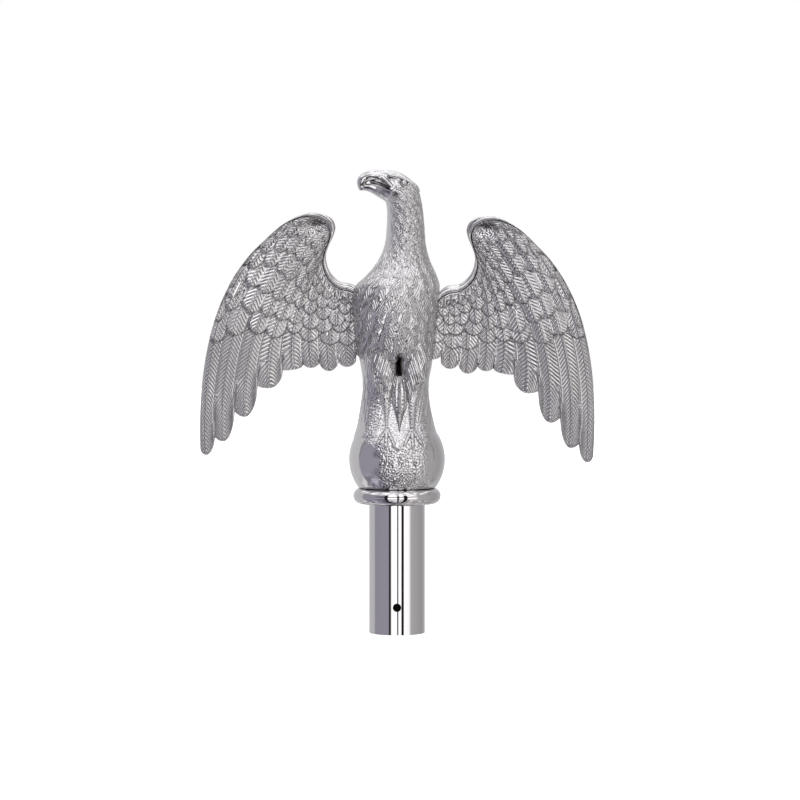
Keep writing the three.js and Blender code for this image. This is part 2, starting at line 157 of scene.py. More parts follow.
turned_chrome = bpy.data.materials.new("buffed_chrome_plate")
turned_chrome.use_nodes = True
tree = turned_chrome.node_tree
shader = tree.nodes["Principled BSDF"]
shader.inputs["Metallic"].default_value = 1
place = add_node(tree, "ShaderNodeTexCoord").outputs["Object"]
stretched = add_node(tree, "ShaderNodeMapping", _0=place, Scale=(0.05, 0.05, 1))
marks = add_node(
    tree,
    "ShaderNodeTexNoise",
    Vector=stretched.outputs[0],
    Scale=1 / (TURNING_MARK * MM),
    Detail=3,
)
haze = add_node(
    tree, "ShaderNodeMapRange", _0=marks.outputs[0], _1=0.35, _2=0.75, _3=0.03, _4=0.075
)
across = add_node(tree, "ShaderNodeVectorMath", {"operation": "MULTIPLY"}, _0=place, _1=(1, 1, 0))
out = add_node(tree, "ShaderNodeVectorMath", {"operation": "LENGTH"}, _0=across.outputs[0])
bore = add_node(
    tree,
    "ShaderNodeMapRange",
    _0=out.outputs["Value"],
    _1=(ferrule_radius - FERRULE_WALL) * MM,
    _2=(ferrule_radius - FERRULE_WALL * 0.6) * MM,
    _3=1,
    _4=0,
)
# Painted shade: the colour goes dark at the bore's wall and fades out across the wall
colour = add_node(
    tree,
    "ShaderNodeMix",
    {"data_type": "RGBA"},
    _0=bore.outputs[0],
    _6=linear(CHROME),
    _7=linear(BORE_PAINTED_SHADE),
)
tree.links.new(colour.outputs[2], shader.inputs["Base Color"])
dull = add_node(tree, "ShaderNodeMath", {"operation": "MULTIPLY"}, _0=bore.outputs[0], _1=0.5)
haze = add_node(tree, "ShaderNodeMath", {"operation": "ADD"}, _0=haze.outputs[0], _1=dull.outputs[0])
tree.links.new(haze.outputs[0], shader.inputs["Roughness"])
waver = add_node(tree, "ShaderNodeTexNoise", Vector=place, Scale=1 / (BUFFING_WAVER * MM), Detail=1)
relief = add_node(
    tree, "ShaderNodeBump", Strength=0.05, Distance=0.05 * MM, Height=waver.outputs[0]
)
tree.links.new(relief.outputs[0], shader.inputs["Normal"])


def finish_piece(piece, material, node, crease=40):
    """Smooths a piece, gives it its finish and puts it in its node's place."""
    piece.data.materials.clear()
    piece.data.materials.append(material)
    bpy.ops.object.select_all(action="DESELECT")
    piece.select_set(True)
    bpy.context.view_layer.objects.active = piece
    bpy.ops.object.shade_smooth_by_angle(angle=math.radians(crease))
    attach(piece, "root")
    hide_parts(node)


finish_piece(ferrule_tube, turned_chrome, "ferrule")
round_normals(ferrule_tube, ferrule_radius)

# Collar ring
# A turned brass ring with a full round bead, chromed like the tube, which it is pressed over.
# The ball stands on its flat top.

COLLAR_GAP = 0.3

collar_low, collar_high = (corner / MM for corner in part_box("collar_ring"))
collar_radius = collar_high.x
collar_height = collar_high.z - collar_low.z
bead_radius = collar_height / 2
bead_centre = collar_radius - bead_radius

bpy.ops.mesh.primitive_cylinder_add(
    vertices=TURNED_SIDES,
    radius=bead_centre * MM,
    depth=collar_height * MM,
    end_fill_type="NOTHING",
    location=(0, 0, (collar_low.z + bead_radius) * MM),
)
collar_moulding = bpy.context.object
collar_moulding.name = "collar_moulding"
apply_place(collar_moulding)
collar_wall = bead_centre - ferrule_radius - COLLAR_GAP
add_modifier(collar_moulding, "SOLIDIFY", thickness=collar_wall * MM, offset=-1)
bpy.ops.mesh.primitive_torus_add(
    major_segments=TURNED_SIDES,
    minor_segments=48,
    major_radius=bead_centre * MM,
    minor_radius=bead_radius * MM,
    location=(0, 0, (collar_low.z + bead_radius) * MM),
)
bead = bpy.context.object
apply_place(bead)
cut_or_join(collar_moulding, bead, "UNION")
finish_piece(collar_moulding, turned_chrome, "collar_ring")

# Ball
# The lower end of the eagle's casting: a ball with a flat foot on the collar ring. Its front
# is stippled with a punch between the claws, and its flanks are buffed smooth.

BALL_RISE = 0.577
SEATING = 0.2
STIPPLE_DEPTH = 0.06
STIPPLE_RIGHT = 17
STIPPLE_LEFT = -10
STIPPLE_LEFT_TOP = -17
STIPPLE_TOP = 37

eagle_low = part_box("eagle")[0] / MM
foot = eagle_low.z
ball_radius = -eagle_low.y
ball_centre = foot + BALL_RISE * ball_radius
NO_QUILL = 9
rng = np.random.default_rng(7)


def turns(front, back):
    """Angles once round, in more steps over the front than over the back."""
    half = np.linspace(-math.pi, 0, front, endpoint=False)
    return np.concatenate([half, np.linspace(0, math.pi, back, endpoint=False)])


def no_marks(points, shade=0):
    """Marks of a plain surface: turns of the barbs, distance off a quill, depth of the barbs
    and how much painted shade it carries."""
    return np.zeros((*points.shape[:2], 4)) + (0, NO_QUILL, 0, shade)


def skin(name, points, marks=None, stipple=0, ends=None):
    """A closed skin through rings of points. Its ends are capped, or zipped where ends gives
    each ring's count of front points and how far along every point lies."""
    rings, count = points.shape[:2]
    bpy.ops.mesh.primitive_grid_add(x_subdivisions=count, y_subdivisions=rings - 1, size=1)
    piece = bpy.context.object
    piece.name = name
    wrap = lambda values: np.concatenate([values, values[:, :1]], axis=1).astype(np.float32)
    piece.data.vertices.foreach_set("co", wrap(points * MM).ravel())
    marks = no_marks(points) if marks is None else marks
    chased = piece.data.attributes.new("feather", "FLOAT_VECTOR", "POINT")
    chased.data.foreach_set("vector", wrap(marks[..., :3]).ravel())
    # Stipple, and the last mark as painted shade, are kept as attributes
    for kind, values in (("stipple", stipple + 0 * points[..., 0]), ("shade", marks[..., 3])):
        kept = piece.data.attributes.new(kind, "FLOAT", "POINT")
        kept.data.foreach_set("value", wrap(values).ravel())
    bpy.ops.object.mode_set(mode="EDIT")
    bpy.ops.mesh.select_all(action="SELECT")
    bpy.ops.mesh.remove_doubles(threshold=1e-7)
    if ends is None:
        bpy.ops.mesh.select_all(action="DESELECT")
        bpy.ops.mesh.select_non_manifold()
        bpy.ops.mesh.edge_face_add()
    else:
        zip_ends(piece, rings, count, *ends)
    bpy.ops.mesh.select_all(action="SELECT")
    bpy.ops.mesh.normals_make_consistent(inside=False)
    bpy.ops.object.mode_set(mode="OBJECT")
    return piece


def zip_ends(piece, rings, count, front_count, places):
    """Fills both end rings, from the front row to the back row, which runs the other way."""
    work = bmesh.from_edit_mesh(piece.data)
    work.verts.ensure_lookup_table()
    for ring in (0, rings - 1):
        first = ring * count
        i, j = 0, count - 1
        while i < front_count - 1 or j > front_count:
            front_next = i < front_count - 1 and places[ring][i + 1] < places[ring][j - 1]
            step = j == front_count or front_next
            third = i + 1 if step else j - 1
            work.faces.new([work.verts[first + k] for k in (i, j, third)])
            i, j = (i + 1, j) if step else (i, j - 1)
    bmesh.update_edit_mesh(piece.data)


def fade_in(value, low, high):
    """From 0 at low to 1 at high, easing in and out."""
    t = np.clip((value - low) / (high - low), 0, 1)
    return t * t * (3 - 2 * t)


def ball():
    """The ball from its foot up, dented by the punch over the front between the claws."""
    angles = turns(120, 34)
    low = math.asin((foot - SEATING - ball_centre) / ball_radius)
    top = np.linspace(low, math.radians(50), 54)
    rise = np.concatenate([top, np.radians([60, 72, 86])])[:, None]
    out = np.cos(rise) * np.ones_like(angles)
    direction = np.stack([out * np.cos(angles), out * np.sin(angles), np.sin(rise) + 0 * out], -1)
    across = direction[..., 0] * ball_radius
    height = direction[..., 2] * ball_radius + ball_centre - foot
    left = STIPPLE_LEFT + (STIPPLE_LEFT_TOP - STIPPLE_LEFT) * fade_in(height, 18, 24)
    fade = np.clip((STIPPLE_RIGHT - across) / 3, 0, 1) * np.clip((across - left) / 2, 0, 1)
    fade = fade * (direction[..., 1] < 0) * (1 - 0.35 * fade_in(height, 18, 26))
    fade = fade * np.clip((STIPPLE_TOP - height) / 4, 0, 1) * np.clip(height / 1.5, 0, 1)
    dents = -abs(rng.normal(size=fade.shape)) * STIPPLE_DEPTH * fade
    points = direction * (ball_radius + dents)[..., None]
    points[..., 2] += ball_centre
    return skin("ball", points, stipple=fade)


# Eagle's body, neck and head
# One with the ball: the flanks rise from it smooth, with a few long chased strokes, and the
# breast and neck carry rows of pointed feathers that overlap downwards like tiles.

# Rows up the bird: x, height over the ball's foot, lean in degrees, half width, depth to the
# front and depth to the back
BODY_SPINE = [
    [-0.4, 20, 0, 22.2, 21.4, 16],
    [-0.5, 25.5, 0, 21.1, 20.7, 16],
    [-0.6, 31, 0, 19.4, 17.6, 15],
    [-0.8, 42, 0, 17.3, 12.6, 13.5],
    [-0.6, 52, 0, 16.5, 11, 13],
    [-0.4, 61, 0, 17.8, 13.8, 13.5],
    [-0.7, 71, 0, 19.4, 17.5, 14.5],
    [-1.0, 82, 0, 20.6, 20.2, 16],
    [-0.9, 92, 0, 21.4, 20, 16.5],
    [0.2, 100, 0, 21.2, 18, 15.5],
    [2.4, 106, 0, 17.3, 15.6, 13.8],
    [3.5, 113, 0, 13, 12.8, 12],
    [4.1, 121, 0, 10.3, 10.6, 10.2],
    [4.3, 130, 0, 9.4, 9.2, 9],
    [3.9, 138, 7, 8.9, 8.5, 8.3],
    [2.9, 144, 18, 8.7, 8.3, 8.1],
    [0.8, 147.6, 31, 8.6, 8, 8],
    [-2.9, 150.4, 48, 8, 7.4, 7.4],
    [-6.8, 151.6, 68, 7, 6.2, 6.2],
    [-9.8, 151.8, 80, 6, 4.6, 4.6],
]
BODY_TURNS = (96, 34)
BODY_ROWS = 205
HEM = 63
THROAT = 143
# Width, length and lift
BREAST_FEATHER = (6.4, 12, 0.75)
NECK_FEATHER = (4.2, 7, 0.55)
# How far apart their rows lie and how long their points are, as shares of their length
ROW_SPACING = 0.5
BODY_POINT = 0.55
# Pitch of the barbs and how far they slant, how deep they are cut, and their feathers' tilt
BODY_PITCH = 2.6
BODY_SLANT = 2.4
BODY_BARBS = 0.95
BODY_TILT = 0.05
# The smooth flank between the front's feathers and the back's, in degrees
BARE_BAND = 14
FLANK_STROKE = 1.7
FLANK_SWEEP = 4.2
FLANK_DEPTH = 0.16
# The deep slit between the legs' tufts
RECESS_X = 1.2
RECESS_WIDTH = 1.8
RECESS_DEPTH = 3.6
RECESS_LOW = (52, 56)
RECESS_HIGH = (64, 67.5)


def ridge(distance, width):
    """A smooth ridge, 1 high along its line."""
    return np.exp(-((distance / width) ** 2))


def flank_strokes(angle, level):
    """Long chased strokes that sweep down the smooth flanks onto the ball."""
    off_front = abs((angle + math.pi / 2 + math.pi) % (2 * math.pi) - math.pi)
    sweep = off_front * 18 - 0.3 * (level - 40) + 2.5 * np.sin(level / 9)
    window = fade_in(off_front, 0.75, 1.05) * (1 - fade_in(off_front, 1.25, 1.5))
    window = window * fade_in(level, 26, 34) * (1 - fade_in(level, 50, 62))
    return FLANK_DEPTH * np.sin(sweep * 2 * math.pi / FLANK_SWEEP) * window


def smooth_rows(rows, share):
    """Values between a table's rows, along a smooth curve through each column."""
    rows = np.array(rows, float)
    place = np.clip(share, 0, 1) * (len(rows) - 1)
    k = np.minimum(place.astype(int), len(rows) - 2)
    f = (place - k)[..., None]
    a, b, c, d = (rows[np.clip(k + n, 0, len(rows) - 1)] for n in (-1, 0, 1, 2))
    ease = f * f * (3 - 2 * f)
    return b + (c - b) * ease + f * (1 - f) * ((c - a) / 2 * (1 - f) - (d - b) / 2 * f)


def spine_points(rows, share, angle, y=0, lift=0):
    """Points round a spine in the XZ plane, at a share of its length. Angle -90 is the front."""
    x, height, lean, half, front, back = np.moveaxis(smooth_rows(rows, share + 0 * angle), -1, 0)
    depth = np.where(np.sin(angle) < 0, front, back)
    across = np.cos(angle) * (half + lift)
    lean = np.radians(lean)
    away = y + np.sin(angle) * (depth + lift)
    return np.stack([x + across * np.cos(lean), away, foot + height + across * np.sin(lean)], -1)


# How far a feather reaches to each side, as a share of the space between quills
FEATHER_COVER = 0.56
# How every feather is shaped: its fall towards the root, its crown and its quill's rise as
# shares of its lift, then the quill's width, the width of its edge's step, and how dark the
# line of painted shade under its tip is
FEATHER_FALL = 0.92
FEATHER_CROWN = 0.14
QUILL_RISE = 0.3
QUILL_WIDTH = 0.6
EDGE_STEP = 0.35
TIP_SHADE = 0.78


def lay_feather(relief, marks, back, side, shape):
    """Lays one feather over the others. Back is how far behind its tip each point lies, side
    how far off its quill. Shape: half width, length, lift, point, tilt, barb pitch and how
    far the barbs slant. The marks get turns of the barbs, distance off the quill, which
    feather it is, and a line of painted shade under its tip, on what lies beneath."""
    half, length, lift, point, tilt, pitch, slant = shape
    taper = np.clip(back / point, 1e-6, 1)
    outline = half * (1 - (1 - taper) ** 2) ** 0.5
    inside = np.minimum(outline - abs(side), (length - back) * 0.5)
    near = (inside > -0.7) & (back > -0.7)
    if not near.any():
        return
    b, s, e = back[near], side[near], inside[near]
    height = lift * (1 - FEATHER_FALL * b / length) + tilt * s / half
    height = height - FEATHER_CROWN * lift * (s / half) ** 2
    height = height + QUILL_RISE * lift * ridge(s, QUILL_WIDTH)
    height = height - (lift + 0.3) * (1 - fade_in(np.minimum(e, b), -EDGE_STEP, EDGE_STEP))
    over = height > relief[near]
    relief[near] = np.where(over, height, relief[near])
    number = marks[..., 2].max() + 1
    slope = point[near] if np.ndim(point) else point
    # Painted shade: a dark line just past the tip's edge, on the feather beneath, for the shadow
    # under the tip, fainter along its sides
    under = 1 - 0.65 * fade_in(b, 0.45 * slope, 0.9 * slope)
    under = TIP_SHADE * under * ridge(np.minimum(e, b) + EDGE_STEP, 0.4)
    shade = np.where(over, 0, np.maximum(marks[..., 3][near], under))
    for column, value in enumerate(((b + abs(s) * slant) / pitch, abs(s), number + 0 * s)):
        marks[..., column][near] = np.where(over, value, marks[..., column][near])
    marks[..., 3][near] = shade


def fade_at_edges(marks, strength):
    """Turns the feathers' numbers into how deep the barbs are cut: none where two meet."""
    owner = marks[..., 2]
    inside = owner > 0
    for axis in (0, 1):
        inside = inside & (owner == np.roll(owner, 1, axis))
    marks[..., 2] = inside * strength
    marks[..., 1] = np.where(inside, marks[..., 1], NO_QUILL)


def body():
    """Flanks, breast, neck and the back of the head, with their feathers."""
    share = np.linspace(0, 1, BODY_ROWS)[:, None]
    angle = turns(*BODY_TURNS)[None, :]
    flat = spine_points(BODY_SPINE, share, angle + 0 * share)
    row = smooth_rows(BODY_SPINE, share[:, 0])
    steps = np.hypot(np.diff(row[:, 0]), np.diff(row[:, 1]))
    up = np.concatenate([[0], np.cumsum(steps)])[:, None]
    level = up + row[0, 1]
    girth = ((row[:, 3] + (row[:, 4] + row[:, 5]) / 2) / 2)[:, None]
    relief = np.zeros(flat.shape[:2])
    marks = no_marks(flat)
    mix = lambda t: [a + (b - a) * t for a, b in zip(BREAST_FEATHER, NECK_FEATHER)]
    off_front = (angle + math.pi / 2 + math.pi) % (2 * math.pi) - math.pi
    bare = ridge(abs(off_front) - math.pi / 2, math.radians(BARE_BAND))
    bare_neck = fade_in(-off_front, 0.5, 0.9) * fade_in(level, 112, 120) * (off_front > -math.pi / 2)
    bare = np.clip(bare + bare_neck, 0, 1)
    place = HEM
    rows = []
    while place < THROAT:
        t = float(fade_in(np.array(place), 92, 122))
        width, length, lift = mix(t)
        rows.append((place, width, length, lift))
        place += length * ROW_SPACING
    for number, (place, width, length, lift) in enumerate(rows):
        t = float(fade_in(np.array(place), 100, 125))
        k = int(np.argmin(abs(level[:, 0] - place)))
        count = int(round(2 * math.pi * girth[k, 0] / width))
        for n in range(count):
            jitter = rng.normal(size=4)
            centre = (n + number % 2 / 2 + 0.1 * jitter[0]) * 2 * math.pi / count - math.pi
            turn = (angle - centre + math.pi) % (2 * math.pi) - math.pi
            lean = 0.4 * math.sin(centre + math.pi / 2) * (1 - t) + 0.5 * t + 0.1 * jitter[1]
            side = turn * girth + (level - place) * lean
            back = level - place - 0.5 * jitter[2] + 0 * angle
            half = width * FEATHER_COVER * (1 + 0.08 * jitter[3])
            shape = (half, length, lift, length * BODY_POINT, BODY_TILT, BODY_PITCH, BODY_SLANT)
            lay_feather(relief, marks, back, side, shape)
    fade_at_edges(marks, BODY_BARBS * (1 - bare))
    marks[..., 1] = np.where(bare > 0.3, NO_QUILL, marks[..., 1])
    # Painted shade under the tips: faint on the breast, stronger on the neck, none on the bare flanks
    marks[..., 3] *= (0.3 + 0.35 * fade_in(level, 100, 120)) * (1 - bare)
    below = (marks[..., 2] == 0) & (level < HEM + 4)
    marks[..., 0] = np.where(below, (off_front * girth - 0.2 * level) / FLANK_STROKE, marks[..., 0])
    marks[..., 2] = np.where(below, 0.4 * fade_in(level, 28, 38), marks[..., 2])
    widen = 1.25 - 0.5 * fade_in(level, RECESS_LOW[0], RECESS_HIGH[1])
    slit = ridge(flat[..., 0] - RECESS_X, RECESS_WIDTH * widen) * (flat[..., 1] < 0)
    slit = slit * fade_in(level, *RECESS_LOW) * (1 - fade_in(level, *RECESS_HIGH))
    relief = relief * (1 - bare) + flank_strokes(angle, level) - RECESS_DEPTH * slit
    # Painted shade fills the slit between the tufts
    marks[..., 3] = np.maximum(marks[..., 3], fade_in(slit, 0.25, 0.9))
    points = spine_points(BODY_SPINE, share, angle + 0 * share, 0, relief)
    stipple = fade_in(level, 20, 24) * (1 - fade_in(level, 44, 54))
    stipple = 0.7 * stipple * (1 - fade_in(abs(off_front), 0.75, 1.05))
    return skin("body", carve_head(points, marks), marks, stipple)


# The head's chasing, in x and height over the foot: strokes along lines, with their width and
# lift, on both cheeks
HEAD_STROKES = [
    [[(-7.5, 154.6), (-4.5, 151.6), (-2.6, 149.6)], 0.35, 0.35],
    [[(-6.2, 155.2), (-3.2, 152.4), (-1.6, 150.2)], 0.35, 0.35],
    [[(-9, 153.9), (-6, 151.2), (-3.6, 149.0)], 0.35, 0.35],
    [[(-5.6, 156.6), (-2.2, 155.6), (1.4, 153.6)], 0.55, 0.6],
    [[(5.6, 151.8), (8.2, 149), (9.9, 146.4)], 0.4, 0.45],
    [[(6.8, 153.2), (9.2, 150.3), (10.6, 147.6)], 0.4, 0.45],
    [[(-0.2, 149.6), (2.2, 148.9), (4.8, 149.6)], 0.5, 0.4],
]
HEAD_RINGS = [
    [(3.3, 151.5), 2.2, 0.4, 0.4],
    [(-1.0, 145.6), 1.7, 0.42, 0.75],
]
HEAD_DENTS = [
    [(3.3, 151.5), 1.6, -0.5],
    [(-1.0, 145.6), 0.9, -0.6],
    [(0.2, 141.4), 2.6, 0.3],
]
# Painted shade on the cheeks, round the eye and in the scroll, in x and height: place, radius and how
# dark
HEAD_SHADES = [
    [(3.4, 153.4), 1.1, 0.9],
    [(5.6, 152.0), 0.8, 0.8],
    [(1.2, 151.6), 0.8, 0.8],
    [(-1.0, 145.6), 0.8, 0.9],
    [(-6.8, 146.6), 1.6, 0.5],
]


def to_line(x, height, line):
    """Distance to a line of points."""
    nearest = np.full(x.shape, 1e9)
    for (ax, ah), (bx, bh) in zip(line, line[1:]):
        length = (bx - ax) ** 2 + (bh - ah) ** 2
        t = np.clip(((x - ax) * (bx - ax) + (height - ah) * (bh - ah)) / length, 0, 1)
        gap = np.hypot(x - ax - t * (bx - ax), height - ah - t * (bh - ah))
        nearest = np.minimum(nearest, gap)
    return nearest


def carve_head(points, marks):
    """Chases strokes, rings and dents into both cheeks and paints shade into their deep places."""
    x, y, z = np.moveaxis(points, -1, 0)
    height = z - foot
    lift = np.zeros_like(x)
    for line, width, depth in HEAD_STROKES:
        lift += depth * ridge(to_line(x, height, line), width)
    for (cx, ch), radius, width, depth in HEAD_RINGS:
        lift += depth * ridge(np.hypot(x - cx, height - ch) - radius, width)
    for (cx, ch), radius, depth in HEAD_DENTS:
        lift += depth * ridge(np.hypot(x - cx, height - ch), radius)
    on_head = fade_in(height, 139, 142)
    # Painted shade, spot by spot
    for (cx, ch), radius, dark in HEAD_SHADES:
        spot = dark * ridge(np.hypot(x - cx, height - ch), radius)
        marks[..., 3] = np.maximum(marks[..., 3], spot)
    carved = points.copy()
    carved[..., 1] = y + np.sign(y) * lift * on_head * fade_in(abs(y), 1, 3)
    return carved


# Beak
# Cast with the head and open: a hooked upper half, a flat lower half and a tongue set back
# between them. The mouth is cut a little way into each cheek.

UPPER_BEAK = [
    [-6.5, 155.2, 88, 2.8, 4.6, 4.6],
    [-11.5, 155.6, 96, 2.6, 4.1, 4.1],
    [-15.8, 154.4, 116, 2.5, 3.4, 3.4],
    [-17.4, 152.2, 150, 2.7, 3, 3],
    [-17.4, 149.9, 174, 2.3, 2.4, 2.4],
    [-17.2, 148, 180, 1.5, 1.6, 1.6],
]
LOWER_BEAK = [
    [-4, 145.4, 62, 3.4, 5, 5],
    [-8.5, 147.6, 64, 3, 4, 4],
    [-12.5, 149.3, 68, 2.4, 3.3, 3.3],
    [-16.4, 149.7, 76, 1.5, 2.4, 2.4],
]
TONGUE = [
    [-2, 148.3, 66, 0.9, 3.4, 3.4],
    [-7, 150.5, 66, 0.9, 3.3, 3.3],
    [-11, 152, 74, 0.9, 3.2, 3.2],
    [-13.6, 152.5, 82, 0.7, 3, 3],
]
MOUTH = [
    (-3, 149.1),
    (-6.5, 153),
    (-9.5, 154.4),
    (-13.5, 155.2),
    (-15.4, 154.6),
    (-15.2, 151.2),
    (-12.5, 150.6),
    (-8.5, 149.5),
    (-4.2, 147.9),
]
MOUTH_CORE = 4
MOUTH_CUT = 10
EYE = (3.4, 151.4, 6.7)
EYE_D = 3.2
BROW = [
    [6.2, 152.2, 30, 0.8, 1.2, 1.2],
    [0.6, 154.6, 48, 1.3, 1.8, 1.8],
    [-4.6, 155.6, 60, 0.9, 1.6, 1.6],
]
BROW_Y = 6.2
CREST = [
    [5.4, 153, 50, 0.8, 2.4, 2.4],
    [9.2, 150, 40, 1.1, 2.9, 2.9],
    [11, 147.2, 24, 0.6, 1.3, 1.3],
]


def loft(name, rows, steps, sides, y=0):
    """A plain rounded form along a spine."""
    share = np.linspace(0, 1, steps)[:, None]
    angle = np.linspace(0, 2 * math.pi, sides, endpoint=False)[None, :]
    return skin(name, spine_points(rows, share, angle + 0 * share, y))


def mouth_cut(side):
    """What is cut out of a cheek for the open mouth."""
    outline = np.array(MOUTH)
    near, far = side * MOUTH_CORE / 2, side * (MOUTH_CORE / 2 + MOUTH_CUT)
    rings = [
        np.stack([outline[:, 0], y + 0 * outline[:, 0], foot + outline[:, 1]], -1)
        for y in (near, far)
    ]
    # Its faces carry full painted shade onto the walls it cuts, for the dark inside of the mouth
    return skin("mouth", np.array(rings), no_marks(np.array(rings), 1))


def eye(side):
    """A round eye, set a little way into its cheek."""
    x, height, y = EYE
    bpy.ops.mesh.primitive_uv_sphere_add(
        segments=24,
        ring_count=16,
        radius=EYE_D / 2 * MM,
        location=(x * MM, side * y * MM, (foot + height) * MM),
    )
    piece = bpy.context.object
    apply_place(piece)
    return piece


# Legs, claws and tail
# Chased in the round: thighs that end in feather tufts, scaly legs and toes that grip the
# ball, the tail's wedge between them, and a fan of five tail feathers down the back.

LEGS_X = 1.2
LEGS_Y = -10.5
LEG = [
    [6.3, 25, 0, 2.2, 9.6, 5],
    [6.3, 31, 0, 2.2, 7.1, 5],
    [6.3, 36, 0, 2.1, 4.8, 5],
    [6.4, 42, 0, 2.2, 2.8, 4],
    [6.9, 47, 0, 3.2, 2.6, 4],
    [8, 54, 0, 5.4, 4, 5],
    [8.2, 62, 0, 6, 5, 6],
    [7.6, 72, 0, 5, 4.6, 6],
]
TUFT_STROKE = 1.3
LOCK_DEPTH = 0.26
BEADS = 25
BEAD_HEIGHT = 0.3
TOE_D = 2.4
TOE_ENDS = [(12.4, 20.5), (7, 18.5), (1.9, 20.5)]
TOE_START = (6.3, 30)
TOE_SUNK = 0.3
TAIL_FRONT = [
    [1.2, 28, 0, 0.5, 10, 5],
    [1.2, 36, 0, 3.2, 6.8, 5],
    [1.2, 47, 0, 3.7, 3.8, 5],
    [1.2, 55.5, 0, 1.9, 0.2, 5],
]
TAIL_FRONT_Y = -9.5
FLUTES = 13
FLUTE_DEPTH = 0.24
TEETH = 26
TOOTH_HEIGHT = 0.22
WEDGE_SHADE = 0.5
TAIL_FEATHERS = 5
TAIL_FAN = 15
TAIL_ROOT = 74
TAIL_LENGTH = 52
TAIL_ROOT_Y = 10
TAIL_TIP_Y = 21.5
TAIL_FEATHER_WIDTH = 9
TAIL_SLANT = 1.25
TAIL_PITCH = 1.9
TAIL_BARB_HEIGHT = 0.11


def leg(side):
    """A leg: a scaly shank that ends above in a tuft of locks, which flare downwards."""
    rows = [[LEGS_X + side * row[0], *row[1:]] for row in LEG]
    share = np.linspace(0, 1, 120)[:, None]
    angle = np.linspace(0, 2 * math.pi, 48, endpoint=False)[None, :]
    off = (angle - 1.5 * math.pi) * side
    height = LEG[0][1] + (LEG[-1][1] - LEG[0][1]) * share
    tufts = fade_in(share, 0.5, 0.62) * (1 - fade_in(share, 0.93, 1))
    locks = np.sin(off * 9 + share * 34) + 0.5 * np.sin(share * 55 + 3 * np.sin(off * 5))
    beads = np.sin(share * 2 * math.pi * BEADS + 1.5 * np.sin(off * 4)) * np.cos(off * 3)
    beads = BEAD_HEIGHT * beads * (1 - fade_in(share, 0.42, 0.5))
    lift = LOCK_DEPTH * tufts * locks + beads
    points = spine_points(rows, share, angle + 0 * share, LEGS_Y, lift)
    marks = no_marks(points)
    marks[..., 0] = (6 * off + 0.4 * height) / TUFT_STROKE
    marks[..., 2] = 0.8 * tufts + 0 * off
    return skin("leg", points, marks, 0.6 * (1 - tufts))


def ball_front(x, height, lift):
    """Points on the ball's front, at a place across and a height, lifted off it."""
    radius = ball_radius + lift
    away = np.sqrt(np.maximum(radius**2 - (height + foot - ball_centre) ** 2 - x**2, 0))
    return np.stack([x, -away, foot + height], -1)


def toe(end, side):
    """A beaded toe that lies on the ball and ends in a claw."""
    share = np.linspace(0, 1, 34)[:, None]
    angle = np.linspace(0, 2 * math.pi, 14, endpoint=False)[None, :]
    beads = 1 + 0.12 * np.sin(share * 2 * math.pi * 6) * (share < 0.8)
    claw = 1 - 0.85 * fade_in(share, 0.78, 1)
    half = TOE_D / 2 * (1 - 0.25 * share) * claw * beads
    middle = LEGS_X + side * (TOE_START[0] + (end[0] - TOE_START[0]) * share)
    level = TOE_START[1] + (end[1] - TOE_START[1]) * share
    lift = np.sin(angle) * half - TOE_SUNK
    points = ball_front(middle + np.cos(angle) * half, level + 0 * angle, lift)
    return skin("toe", points, stipple=0.5)


def tail_front():
    """The tail's wedge between the legs: fluted above, and a plain toothed point below."""
    share = np.linspace(0, 1, 80)[:, None]
    angle = np.linspace(0, 2 * math.pi, 56, endpoint=False)[None, :]
    off = angle - 1.5 * math.pi
    upper = fade_in(share, 0.36, 0.46)
    flutes = FLUTE_DEPTH * np.cos(off * FLUTES) * upper
    teeth = TOOTH_HEIGHT * np.sin(share * 2 * math.pi * TEETH) * fade_in(abs(off), 0.8, 1.1)
    lift = 0.35 * ridge(off, 0.12) * upper + flutes + teeth * (1 - upper) + 0.3 * upper
    points = spine_points(TAIL_FRONT, share, angle + 0 * share, TAIL_FRONT_Y, lift)
    marks = no_marks(points)
    # Painted shade over the plain toothed point, low between the legs
    marks[..., 3] = WEDGE_SHADE * (1 - upper) * (abs(off) < 0.9)
    return skin("tail_front", points, marks, stipple=0.5)


def tail_feather(index):
    """One feather of the fan down the back, with its quill and barbs."""
    turn = math.radians(TAIL_FAN * (2 * index / (TAIL_FEATHERS - 1) - 1))
    share = np.linspace(0, 1, 56)[:, None]
    width = TAIL_FEATHER_WIDTH / 2 * (0.75 + 0.25 * np.sin(share * math.pi * 0.8))
    width = width * np.sqrt(1 - np.clip((share - 0.88) / 0.125, 0, 0.98) ** 2)
    side = np.concatenate([np.linspace(-1, 1, 19), [1, 0, -1]])[None, :]
    across = side * width
    crown = 2.2 - 0.9 * side**2 + 0.25 * ridge(across, 0.4)
    turns_off_root = (-share * TAIL_LENGTH + abs(across) * TAIL_SLANT) * 2 * math.pi / TAIL_PITCH
    barbs = TAIL_BARB_HEIGHT * np.sin(turns_off_root)
    front = np.arange(side.shape[1]) >= 19
    away = np.where(front, -4, crown + barbs * fade_in(abs(across), 0.2, 0.8))
    out = share * TAIL_LENGTH
    y = TAIL_ROOT_Y + (TAIL_TIP_Y - TAIL_ROOT_Y) * share + away
    x = out * math.sin(turn) + across * math.cos(turn)
    height = TAIL_ROOT - out * math.cos(turn) + across * math.sin(turn)
    return skin("tail_feather", np.stack([x, y, foot + height], -1))


# Wings
# Thin cast plates, one with the body, with a rolled rim from the flank round the notch and
# over the wrist. Rows of coverts overlap down to nine long flight feathers, each with its
# quill and slanting barbs, and their tips make the scalloped edge.

WING_EDGE = [
    [17, 94],
    [21.5, 99.6],
    [25.5, 101.4],
    [29.5, 101.9],
    [33.2, 104.6],
    [35.9, 108.8],
    [37, 114.5],
    [35.6, 119.7],
    [33.4, 124.6],
    [32.5, 129],
    [34.5, 133],
    [40, 135.4],
    [48, 135],
    [58.5, 129.6],
    [69.5, 119.6],
]
